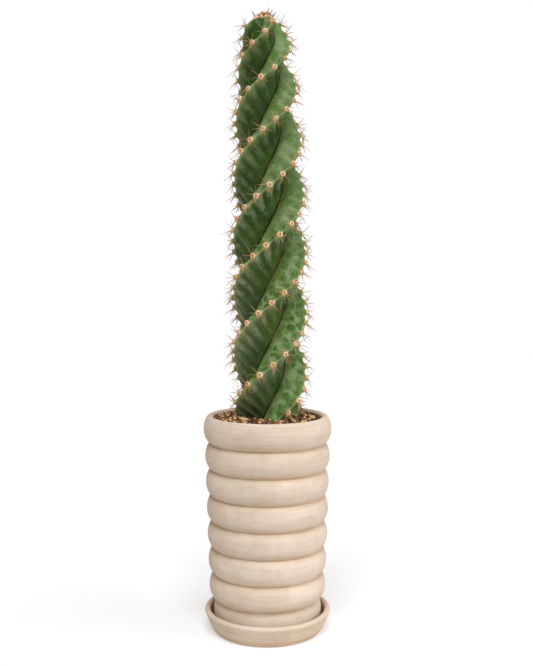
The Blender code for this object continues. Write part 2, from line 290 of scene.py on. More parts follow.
def cells(points: Floats, size: float, seed: int) -> Floats:
    """How far points lie from the borders between cells round scattered middles: 0 on a border.

    Each cube of a lattice has one middle at random. The value is the distance to the second nearest middle less the
    distance to the nearest one, as a share of the cube's side.

    Args:
        points: Any array whose last axis holds x, y and z.
        size: Side of the lattice's cubes.
        seed: Number that picks the middles.

    Returns:
        One value for each point.
    """
    table = np.random.default_rng(seed).uniform(0.1, 0.9, (4096, 3))
    scaled = points / size
    corner = np.floor(scaled).astype(np.int64)
    nearest = np.full(points.shape[:-1], 9.0)
    second = np.full(points.shape[:-1], 9.0)
    for step in np.ndindex(3, 3, 3):
        at = corner + np.array(step) - 1
        apart = np.linalg.norm(at + table[table_rows(at)] - scaled, axis=-1)
        second = np.minimum(second, np.maximum(nearest, apart))
        nearest = np.minimum(nearest, apart)
    return second - nearest


def arc(centre: tuple[float, float], radii: tuple[float, float], start: float, end: float, steps: int) -> Floats:
    """Points of an elliptical arc: radius = c + a cos t, height = d + b sin t, for t between two angles in degrees.

    Args:
        centre: Radius c and height d of the arc's middle.
        radii: Half axes a and b.
        start: First angle.
        end: Last angle.
        steps: Number of steps between them.

    Returns:
        Rows of radius and height, both ends included.
    """
    t = np.radians(np.linspace(start, end, steps + 1))
    return joined(centre[0] + radii[0] * np.cos(t), centre[1] + radii[1] * np.sin(t))


def build(name: str, surface: Surface, finishes: list[bpy.types.Material], smooth: bool = True) -> bpy.types.Object:
    """Makes a Blender object of a surface, and sets it on the plant.

    Args:
        name: Name of the piece.
        surface: Its mesh as arrays.
        finishes: Its materials, in the order of the faces' numbers.
        smooth: Whether its faces are shaded smooth.

    Returns:
        The object, at the origin and riding on the plant's body.
    """
    mesh = bpy.data.meshes.new(name)
    mesh.from_pydata(surface.points.tolist(), [], surface.quads.tolist() + surface.triangles.tolist())
    for finish in finishes:
        mesh.materials.append(finish)
    mesh.polygons.foreach_set("material_index", surface.finish_numbers().astype(np.int32))
    mesh.polygons.foreach_set("use_smooth", np.full(len(mesh.polygons), smooth))
    for mark, values in surface.marks.items():
        mesh.attributes.new(mark, "FLOAT", "POINT").data.foreach_set("value", values.astype(np.float32))
    mesh.update()
    piece = bpy.data.objects.new(name, mesh)
    bpy.context.scene.collection.objects.link(piece)
    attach(piece, BODY)
    log.info("%s: %d triangles", name, 2 * len(surface.quads) + len(surface.triangles))
    return piece


# Nodes and the effects that the materials share.


Socket = bpy.types.NodeSocket
Value = Socket | float | tuple[float, float, float]
Band = tuple[Socket, float, float] | tuple[Socket, float, float, float, float]


@dataclass
class Wiring:
    """Short ways to add and join nodes in one node tree.

    Attributes:
        tree: The node tree that the nodes go into.
    """

    tree: bpy.types.NodeTree

    def put(self, target: Socket, value: Value) -> None:
        """Joins a socket to another one, or sets it to a value.

        Args:
            target: The socket that takes it.
            value: The other socket, a number or a colour.
        """
        if isinstance(value, bpy.types.NodeSocket):
            self.tree.links.new(value, target)
        elif target.type == "RGBA":
            target.default_value = (*value, 1.0)
        else:
            target.default_value = value

    def node(
        self, kind: str, values: dict[str | int, Value] | None = None, **settings: str | bpy.types.NodeTree
    ) -> bpy.types.NodeOutputs:
        """Adds a node.

        Args:
            kind: The node's kind, as Blender names it after ShaderNode.
            values: Its inputs, by their names or numbers.
            settings: Its own settings.

        Returns:
            Its outputs.
        """
        made = self.tree.nodes.new("ShaderNode" + kind)
        for name, setting in settings.items():
            setattr(made, name, setting)
        for name, value in (values or {}).items():
            self.put(made.inputs[name], value)
        return made.outputs

    def math(self, operation: str, *values: Socket | float) -> Socket:
        """One step of arithmetic on one or two values."""
        return self.node("Math", dict(enumerate(values)), operation=operation)[0]

    def times(self, first: Socket | float, *others: Socket | float) -> Socket:
        """The product of values, taken in their order.

        Args:
            first: The first value.
            others: What it is multiplied by.

        Returns:
            The product.
        """
        for other in others:
            first = self.math("MULTIPLY", first, other)
        return first

    def between(self, value: Socket, low: float, high: float, start: float = 0.0, end: float = 1.0) -> Socket:
        """A value eased from one range to another, and held at the ends."""
        limits = {"Value": value, "From Min": low, "From Max": high, "To Min": start, "To Max": end}
        return self.node("MapRange", limits, interpolation_type="SMOOTHSTEP")[0]

    def masked(self, *bands: Band, amount: float = 1.0) -> Socket:
        """The product of values times an amount. Each band holds what between takes, and is eased the same way."""
        product = self.times(*(self.between(*band) for band in bands))
        return product if amount == 1.0 else self.times(product, amount)

    def blend(self, share: Socket | float, first: Value, second: Value, how: str = "MIX") -> Socket:
        """Two colours mixed by the share of the second, or with MULTIPLY the first one tinted that far."""
        return self.node("Mix", {0: share, 6: first, 7: second}, data_type="RGBA", blend_type=how)[2]

    def layered(self, colour: Value, *layers: tuple[Socket, Value]) -> Socket:
        """A colour with others laid over it one by one, each with its share.

        Args:
            colour: The lowest colour.
            layers: The share and the colour of each layer.

        Returns:
            The colour with all layers on it.
        """
        for share, other in layers:
            colour = self.blend(share, colour, other)
        return colour

    def tinted(self, colour: Value, *tints: tuple[Socket, Value]) -> Socket:
        """A colour multiplied by tints one by one, each as far as its share says.

        Args:
            colour: The colour to tint.
            tints: The share and the colour of each tint.

        Returns:
            The tinted colour.
        """
        for share, tint in tints:
            colour = self.blend(share, colour, tint, "MULTIPLY")
        return colour

    def place(self) -> Socket:
        """The point on the object in metres."""
        return self.node("TexCoord")["Object"]

    def height(self, place: Socket) -> Socket:
        """The height of a point in metres."""
        return self.node("SeparateXYZ", {0: place})["Z"]

    def mark(self, name: str) -> Socket:
        """A named value from the mesh."""
        return self.node("Attribute", attribute_name=name)["Fac"]

    def noise(self, place: Socket, scale: Socket | float, detail: float = 2.0, roughness: float = 0.5) -> Socket:
        """A noise value between 0 and 1."""
        values = {"Vector": place, "Scale": scale, "Detail": detail, "Roughness": roughness}
        return self.node("TexNoise", values)["Fac"]

    def bump(self, height: Socket, distance: float) -> Socket:
        """A normal pushed by a height between 0 and 1, times a distance in metres."""
        return self.node("Bump", {"Distance": distance, "Height": height})[0]

    def clouds(self, place: Socket, colour: Value, cloud: Value, shade: Value, scale: float, amount: float) -> Socket:
        """The colour that the effect cloudy tone gives for these values."""
        values = {"Place": place, "Colour": colour, "Cloud": cloud, "Shade": shade, "Scale": scale, "Amount": amount}
        return self.node("Group", values, node_tree=cloudy_tone())["Colour"]

    def grain(self, place: Socket, scale: float) -> Socket:
        """The height that the effect fine grain gives."""
        return self.node("Group", {"Place": place, "Scale": scale}, node_tree=fine_grain())["Height"]


def new_group(
    name: str, takes: dict[str, str], gives: tuple[str, ...]
) -> tuple[Wiring, bpy.types.NodeOutputs, bpy.types.NodeInputs]:
    """Starts a shader node group.

    Args:
        name: Name of the group.
        takes: Names and kinds of its inputs.
        gives: Names of its outputs. The one called Colour is a colour, and the others are numbers.

    Returns:
        The wiring of the group, the sockets that give its inputs' values and those that take its outputs'.
    """
    tree = bpy.data.node_groups.new(name, "ShaderNodeTree")
    for label, kind in takes.items():
        tree.interface.new_socket(name=label, in_out="INPUT", socket_type="NodeSocket" + kind)
    for label in gives:
        kind = "NodeSocketColor" if label == "Colour" else "NodeSocketFloat"
        tree.interface.new_socket(name=label, in_out="OUTPUT", socket_type=kind)
    entry = tree.nodes.new("NodeGroupInput")
    exit_node = tree.nodes.new("NodeGroupOutput")
    return Wiring(tree), entry.outputs, exit_node.inputs


@cache
def cloudy_tone() -> bpy.types.NodeTree:
    """Two colours in soft clouds over one another.

    The colours are mixed by noise of the given size, and multiplied here and there by the shade, by noise
    three times finer.

    Returns:
        The node group, made once.
    """
    kinds = {"Place": "Vector", "Colour": "Color", "Cloud": "Color", "Shade": "Color", "Scale": "Float"}
    wires, takes, gives = new_group("cloudy tone", {**kinds, "Amount": "Float"}, ("Colour",))
    coarse, fine = (wires.noise(takes["Place"], wires.times(takes["Scale"], finer), 3.0) for finer in (1.0, 3.1))
    share = wires.times(wires.between(coarse, 0.38, 0.64), takes["Amount"])
    mixed = wires.blend(share, takes["Colour"], takes["Cloud"])
    wires.put(gives["Colour"], wires.tinted(mixed, (wires.masked((fine, 0.48, 0.70), amount=0.35), takes["Shade"])))
    return wires.tree


@cache
def fine_grain() -> bpy.types.NodeTree:
    """A height of fine grain with coarser grain under it, between 0 and 1.

    Returns:
        The node group, made once.
    """
    wires, takes, gives = new_group("fine grain", {"Place": "Vector", "Scale": "Float"}, ("Height",))
    heights = [
        wires.times(wires.noise(takes["Place"], wires.times(takes["Scale"], finer)), share)
        for finer, share in ((1.0, 0.6), (3.7, 0.4))
    ]
    wires.put(gives["Height"], wires.math("ADD", *heights))
    return wires.tree


@cache
def turned_lines() -> bpy.types.NodeTree:
    """Fine level lines, as a wheel leaves them in clay: noise squeezed along Z, in two sizes.

    Returns:
        The node group, made once.
    """
    wires, takes, gives = new_group("turned lines", {"Place": "Vector", "Scale": "Float"}, ("Lines", "Streaks"))
    for label, squeeze, finer in (("Lines", 26.0, 1.0), ("Streaks", 9.0, 0.55)):
        place = wires.node("Mapping", {"Vector": takes["Place"], "Scale": (1.0, 1.0, squeeze)})[0]
        wires.put(gives[label], wires.noise(place, wires.times(takes["Scale"], finer), 4.0, 0.6))
    return wires.tree


def new_material(name: str, roughness: float) -> tuple[bpy.types.Material, Wiring, bpy.types.NodeInputs]:
    """Starts a material.

    Args:
        name: Name of the material.
        roughness: Its roughness.

    Returns:
        The material, the wiring of its nodes and its shader's sockets.
    """
    made = bpy.data.materials.new(name)
    made.use_nodes = True
    shader = made.node_tree.nodes["Principled BSDF"]
    shader.inputs["Roughness"].default_value = roughness
    return made, Wiring(made.node_tree), shader.inputs


# Finishes.


Colour = tuple[float, float, float]


@dataclass(frozen=True)
class ClayFinish:
    """Pale unglazed clay with the wheel's fine level lines.

    Attributes:
        name: Name of the material.
        body: Colour of the clay.
        warm: Colour of its darker, warmer clouds.
        dull: Tint here and there in the clouds.
        streak: Tint of its broad streaks.
        thin: Tint of its thin lines.
        speck: Tint of its pin specks.
        shade: Tint of the painted shade in the creases and recesses.
        cloud_scale: How fine the clouds are, for each metre.
        wheel_scale: How fine the wheel's lines are, for each metre.
        grain_scale: How fine the grain and the specks are, for each metre.
        depth: Depth of the wheel's lines in metres.
        grain: Depth of the grain as a share of theirs.
        roughness: How matte it is.
    """

    name: str
    body: Colour = (0.706, 0.605, 0.510)
    warm: Colour = (0.630, 0.495, 0.380)
    dull: Colour = (0.86, 0.81, 0.76)
    streak: Colour = (0.88, 0.84, 0.79)
    thin: Colour = (0.84, 0.78, 0.71)
    speck: Colour = (0.55, 0.42, 0.32)
    shade: Colour = (0.94, 0.86, 0.77)
    cloud_scale: float = 26.0
    wheel_scale: float = 24.0
    grain_scale: float = 900.0
    depth: float = 0.00025
    grain: float = 0.25
    roughness: float = 0.72

    def material(self) -> bpy.types.Material:
        """Clay in soft clouds, with darker streaks and lines, dark pin specks and painted shade in the creases and
        recesses.

        Returns:
            The material.
        """
        made, wires, shader = new_material(self.name, self.roughness)
        place = wires.place()
        wheel = wires.node("Group", {"Place": place, "Scale": self.wheel_scale}, node_tree=turned_lines())
        colour = wires.tinted(
            wires.clouds(place, self.body, self.warm, self.dull, self.cloud_scale, 0.45),
            (wires.masked((wheel["Streaks"], 0.40, 0.66), amount=0.55), self.streak),
            (wires.masked((wheel["Lines"], 0.52, 0.72), amount=0.55), self.thin),
            (wires.masked((wires.noise(place, self.grain_scale, 1.0), 0.70, 0.76), amount=0.5), self.speck),
            # Painted shade in the grooves and recesses that the mesh marks.
            (wires.mark("painted_shade"), self.shade),
        )
        wires.put(shader["Base Color"], colour)
        grain = wires.times(wires.grain(place, self.grain_scale), self.grain)
        wires.put(shader["Normal"], wires.bump(wires.math("ADD", wheel["Lines"], grain), self.depth))
        return made


@dataclass(frozen=True)
class SkinFinish:
    """The cactus's skin. It reads the marks that the stem's surface carries.

    Attributes:
        name: Name of the material.
        upper: Green of the upper flanks.
        bloom: Greyer, bluish green of the bloom on them; the band of it near the crest, thicker towards the top, is
            partly painted highlight.
        fresh_and_dent_shade: Vivid green in the middles of the blisters, and in the dents beside the notches, darker
            there as painted shade.
        lower: Green of the lower flanks.
        deep_green_and_shade: Dark green in the lower flanks' clouds, and painted shade in the hollows between the folds
            and towards the valleys.
        haze: Grey-green bloom on their folds.
        glow: Yellow-green near the valleys.
        crest: Pale green along the crests.
        crest_below: The paler green of their lower side.
        cork_and_valley_shade: Brown of the dry edges by the notches, and near-black painted shade along the valleys.
        vein: Tan of the lines along the folds.
        worn: Pale olive where the skin is old, low on the stem.
        rim: Bright green of the rims round the blisters there.
        speck: Red-brown of the pin specks.
        mottle: Tint of the darker clouds on both flanks.
        grime: Tint of the fine dark grain.
        gloss: Strength of the reflections.
        roughness: How matte it is where nothing else says it.
        sheen: How matte its shiniest and its dullest patches are.
        lines: Strength of the lines along the folds.
        grain_scale: How fine the grain is, for each metre.
        depth: Depth of the grain and of the lines in metres.
    """

    name: str = "cactus_skin"
    upper: Colour = (0.100, 0.200, 0.040)
    bloom: Colour = (0.250, 0.330, 0.165)
    fresh_and_dent_shade: Colour = (0.034, 0.105, 0.008)
    lower: Colour = (0.048, 0.110, 0.018)
    deep_green_and_shade: Colour = (0.018, 0.050, 0.005)
    haze: Colour = (0.245, 0.300, 0.195)
    glow: Colour = (0.112, 0.190, 0.010)
    crest: Colour = (0.228, 0.358, 0.108)
    crest_below: Colour = (0.395, 0.510, 0.205)
    cork_and_valley_shade: Colour = (0.026, 0.016, 0.006)
    vein: Colour = (0.360, 0.320, 0.155)
    worn: Colour = (0.370, 0.385, 0.195)
    rim: Colour = (0.240, 0.370, 0.115)
    speck: Colour = (0.16, 0.055, 0.025)
    mottle: Colour = (0.52, 0.66, 0.36)
    grime: Colour = (0.52, 0.58, 0.48)
    gloss: float = 0.14
    roughness: float = 0.45
    sheen: tuple[float, float] = (0.34, 0.54)
    lines: float = 0.62
    grain_scale: float = 420.0
    depth: float = 0.00055

    def upper_flank(self, wires: Wiring, place: Socket, inward: Socket, from_notch: Socket) -> Socket:
        """Colour of the upper flanks: bloomed swellings, vivid dents between them darkened as painted shade, painted
        shade and a tan line by the valley.

        Args:
            wires: The wiring of the material.
            place: The point on the stem in metres.
            inward: How far from the crest it is, up to 1 in the valley.
            from_notch: How far from the nearest notch it is, up to 1/2 at an areole.

        Returns:
            The colour.
        """
        height, pillow, fade = wires.height(place), wires.mark("pillow"), wires.noise(place, 34.0)
        low = wires.between(height, 0.50, 0.36)
        strewn = (wires.noise(place, 46.0), 0.38, 0.54)
        blisters = wires.masked((inward, 0.88, 0.66), (low, 0.0, 1.0, 0.10, 1.0), strewn)
        pressed = wires.times(wires.between(pillow, 0.10, 0.34), blisters, 0.90)
        # The dents beside the notches are darkened as painted shade.
        beside = wires.masked((inward, 0.08, 0.22), (inward, 0.56, 0.34), (from_notch, 0.26, 0.04), amount=0.80)
        satin = (wires.noise(place, 210.0, 4.0, 0.65), 0.50, 0.64)
        old = wires.times(wires.between(wires.noise(place, 130.0, 4.0, 0.6), 0.48, 0.62), low)
        return wires.layered(
            wires.clouds(place, self.upper, self.bloom, self.mottle, 70.0, 0.75),
            (wires.masked(satin, (height, 0.60, 0.34, 0.14, 0.34)), self.bloom),
            (wires.math("MAXIMUM", pressed, beside), self.fresh_and_dent_shade),
            (wires.times(old, wires.between(inward, 0.15, 0.60, 0.25, 1.0), 0.38), self.worn),
            (wires.times(wires.between(pillow, 0.09, 0.02), blisters, 0.80), self.rim),
            (wires.masked((inward, 0.55, 0.90), (fade, 0.44, 0.60), amount=0.55), self.glow),
            # Pale bloom near the crest, more towards the top: partly painted highlight.
            (wires.masked((inward, 0.08, 0.20), (inward, 0.62, 0.34), (height, 0.40, 0.60, 0.10, 0.46)), self.bloom),
            # Painted shade towards the valley, under the rib above.
            (wires.between(inward, 0.74, 0.96, 0.0, 0.34), self.deep_green_and_shade),
            (wires.masked((inward, 0.90, 0.955), (fade, 0.42, 0.58), amount=0.80), self.vein),
        )

    def lower_flank(self, wires: Wiring, place: Socket, inward: Socket, fold: Socket, line: Socket) -> Socket:
        """Colour of the lower flanks: hazy folds, painted shade in their hollows and towards the valley, yellow-green
        by the valley, and soft tan lines.

        Args:
            wires: The wiring of the material.
            place: The point on the stem in metres.
            inward: How far from the crest it is, up to 1 in the valley.
            fold: 1 on a fold, at an areole, down to 0 at a notch.
            line: How much of the tan line shows there.

        Returns:
            The colour.
        """
        height, patchy = wires.height(place), (wires.noise(place, 34.0, 3.0), 0.44, 0.60)
        patches = wires.masked((wires.noise(place, 70.0, 4.0, 0.6), 0.40, 0.60), (fold, 0.05, 0.70))
        haze = wires.math("MAXIMUM", patches, wires.between(height, 0.50, 0.32, 0.05, 0.46))
        haze = wires.times(haze, wires.between(inward, 0.85, 0.35, 0.25, 0.95), wires.between(height, 0.62, 0.40, 0.35))
        high, low = wires.between(height, 0.48, 0.60, 0.05, 0.40), wires.between(height, 0.44, 0.34, 0.05, 0.34)
        return wires.layered(
            wires.clouds(place, self.lower, self.deep_green_and_shade, self.mottle, 48.0, 0.85),
            (haze, self.haze),
            (wires.masked((inward, 0.30, 0.75), patchy, (height, 0.54, 0.38, 0.30, 1.0), amount=0.55), self.glow),
            (wires.times(wires.math("MAXIMUM", high, low), wires.between(inward, 0.55, 0.08)), self.crest_below),
            # Painted shade in the hollows between the folds, and below it towards the valley.
            (wires.masked((fold, 0.42, 0.08), (inward, 0.90, 0.45), amount=0.26), self.deep_green_and_shade),
            (wires.between(inward, 0.45, 0.95, 0.0, 0.30), self.deep_green_and_shade),
            (line, self.vein),
        )

    def material(self) -> bpy.types.Material:
        """The two flanks' colours side by side, then the crest's pale edge, the valley's dark painted shade and brown
        specks.

        Returns:
            The material.
        """
        made, wires, shader = new_material(self.name, self.roughness)
        shader["Specular IOR Level"].default_value = self.gloss
        place, inward, lower = wires.place(), wires.mark("inward"), wires.mark("lower")
        # The phase is 0 at an areole and 1/2 halfway to the next one, at the notch. A fold is 1 at an areole.
        wobble = wires.times(wires.math("SUBTRACT", wires.noise(place, 120.0), 0.5), 0.14)
        phase = wires.math("FRACT", wires.math("ADD", wires.mark("steps"), wobble))
        from_notch = wires.math("ABSOLUTE", wires.math("SUBTRACT", phase, 0.5))
        fold = wires.times(from_notch, 2.0)
        breaks = (wires.noise(place, 42.0, 1.0), 0.36, 0.56)
        line = wires.masked((fold, 0.86, 0.98), (inward, 0.90, 0.40), (inward, 0.05, 0.14), breaks, amount=self.lines)
        above = self.upper_flank(wires, place, inward, from_notch)
        below = self.lower_flank(wires, place, inward, fold, line)
        crest = wires.blend(lower, self.crest, self.crest_below)
        colour = wires.layered(
            wires.blend(lower, above, below),
            (wires.masked((inward, 0.22, 0.06), amount=0.86), crest),
            (wires.masked((inward, 0.045, 0.01), (from_notch, 0.30, 0.14), amount=0.30), self.cork_and_valley_shade),
            # Painted shade: a near-black line along the bottom of each valley, broken by noise.
            (wires.masked((inward, 0.962, 0.992), (wires.noise(place, 32.0), 0.34, 0.56, 0.35, 0.92)), self.cork_and_valley_shade),
        )
        fine = wires.masked((wires.noise(place, 430.0, 4.0, 0.75), 0.54, 0.38), amount=0.75)
        speck = wires.masked((wires.noise(place, 380.0, 1.0), 0.73, 0.78), amount=0.60)
        wires.put(shader["Base Color"], wires.blend(speck, wires.tinted(colour, (fine, self.grime)), self.speck))
        wires.put(shader["Roughness"], wires.between(wires.noise(place, 110.0, 3.0), 0.3, 0.7, *self.sheen))
        height = wires.math("ADD", wires.grain(place, self.grain_scale), wires.times(line, 0.6))
        wires.put(shader["Normal"], wires.bump(height, self.depth))
        return made


@dataclass(frozen=True)
class PlainFinish:
    """A small thing's colour, with a faint change of tone and a fine grain.

    Attributes:
        name: Name of the material.
        body: Its colour.
        other: The colour of its clouds.
        roughness: How matte it is.
        scale: How fine the clouds are, for each metre.
        grain: Depth of the grain in metres.
        shade: Tint here and there in the clouds.
        grain_scale: How fine the grain is, for each metre.
    """

    name: str
    body: Colour
    other: Colour
    roughness: float = 0.7
    scale: float = 300.0
    grain: float = 0.0001
    shade: Colour = (0.74, 0.70, 0.66)
    grain_scale: float = 1800.0

    def material(self) -> bpy.types.Material:
        """Two close colours in clouds, with a grained surface.

        Returns:
            The material.
        """
        made, wires, shader = new_material(self.name, self.roughness)
        place = wires.place()
        wires.put(shader["Base Color"], wires.clouds(place, self.body, self.other, self.shade, self.scale, 0.8))
        wires.put(shader["Normal"], wires.bump(wires.grain(place, self.grain_scale), self.grain))
        return made


POT_CLAY = ClayFinish("pot_clay")
SAUCER_CLAY = ClayFinish("saucer_clay", body=(0.695, 0.584, 0.480), warm=(0.605, 0.464, 0.346))
SKIN = SkinFinish()
PALE_WOOL = PlainFinish("pale_wool", (0.88, 0.66, 0.46), (0.62, 0.34, 0.16), 0.9, 420.0)
TAN_WOOL_AND_SHADE = PlainFinish("tan_wool_and_shade", (0.42, 0.17, 0.055), (0.60, 0.34, 0.15), 0.9, 700.0)
CREAM_WOOL = PlainFinish("cream_wool", (0.86, 0.68, 0.50), (0.70, 0.46, 0.27), 0.9, 700.0)
SPINE_AMBER = PlainFinish("spine_amber", (0.56, 0.27, 0.060), (0.46, 0.22, 0.050), 0.42, 400.0, 0.00004)
SPINE_BROWN = PlainFinish("spine_brown", (0.42, 0.205, 0.120), (0.33, 0.150, 0.085), 0.45, 400.0, 0.00004)
SPINE_STRAW = PlainFinish("spine_straw", (0.54, 0.34, 0.21), (0.44, 0.26, 0.15), 0.45, 400.0, 0.00004)
SPINE_GOLD = PlainFinish("spine_gold", (0.90, 0.60, 0.22), (0.78, 0.46, 0.13), 0.42, 400.0, 0.00004)
SPINE_OLIVE = PlainFinish("spine_olive", (0.26, 0.17, 0.030), (0.36, 0.21, 0.045), 0.45, 400.0, 0.00004)
SOIL_BED = PlainFinish("soil_bed", (0.035, 0.015, 0.006), (0.070, 0.032, 0.013), 0.95, 220.0, 0.0006)
GRAIN_DARK = PlainFinish("grain_dark", (0.050, 0.020, 0.008), (0.024, 0.010, 0.005), 0.9, 500.0, 0.0002)
GRAIN_BROWN = PlainFinish("grain_brown", (0.200, 0.085, 0.030), (0.115, 0.048, 0.018), 0.9, 500.0, 0.0002)
GRAIN_TAN = PlainFinish("grain_tan", (0.46, 0.265, 0.115), (0.33, 0.170, 0.070), 0.9, 500.0, 0.0002)
PUMICE = PlainFinish("pumice", (0.76, 0.48, 0.24), (0.52, 0.29, 0.13), 0.9, 450.0, 0.0003)


# The pot and its saucer.


@dataclass(frozen=True)
class Saucer:
    """A dish whose wall leans out from its base to a rounded rim."""

    base_radius: float = 0.0625
    rim_radius: float = 0.0745
    height: float = 0.0262
    wall: float = 0.0066
    floor: float = 0.0070
    wall_power: float = 0.65
    corner: float = 0.0060
    foot_rounding: float = 0.0006
    columns: int = 240
    wobble: float = 0.00018

    def profile(self) -> Floats:
        """The dish's outline from the middle of its underside, up the outer wall, over the rim and in to the middle.

        The outer radius is the base's plus a share of the spread: the height's share to the power of 0.65.

        Returns:
            Rows of radius and height.
        """
        half = self.wall / 2
        rim = (self.rim_radius - half, self.height - half)
        edge = self.base_radius - self.foot_rounding
        share = np.linspace(0.0, 1.0, 22)[1:-1]
        spread = self.base_radius + (self.rim_radius - self.base_radius) * share**self.wall_power
        inner = rim[0] - half - self.corner
        return np.vstack(
            [
                joined(np.linspace(0.0, edge, 16)[1:], 0.0),
                (self.base_radius - self.foot_rounding * 0.2, self.foot_rounding * 0.35),
                joined(spread, rim[1] * share),
                arc(rim, (half, half), 0, 180, 14),
                arc((inner, self.floor + self.corner), (self.corner, self.corner), 0, -90, 8),
                joined(np.linspace(inner, 0.0, 14)[1:-1], self.floor),
            ]
        )

    def make(self) -> bpy.types.Object:
        """Turns the profile, with a slight unevenness in the wall.

        Returns:
            The piece.
        """
        grid = turned(self.profile(), self.columns)
        sway = (lumps(grid, 0.035, 11) - 1.0) * self.wobble * ease(grid[..., 2], 0.0005, 0.006)
        grid = grid + grid * LEVEL / self.rim_radius * sway[..., None]
        body = column_of(grid, (0.0, 0.0, 0.0), (0.0, 0.0, self.floor))
        radius, height = np.hypot(body.points[:, 0], body.points[:, 1]), body.points[:, 2]
        # Painted shade: darker clay in a thin band along the foot and low down inside the dish.
        inside = (radius < self.rim_radius - self.wall) * ease(height, 0.02, 0.008)
        body.marks["painted_shade"] = np.maximum(ease(height, 0.0014, 0.0) * 0.6, inside)
        piece = build("saucer_dish", body, [SAUCER_CLAY.material()])
        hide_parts("saucer")
        return piece


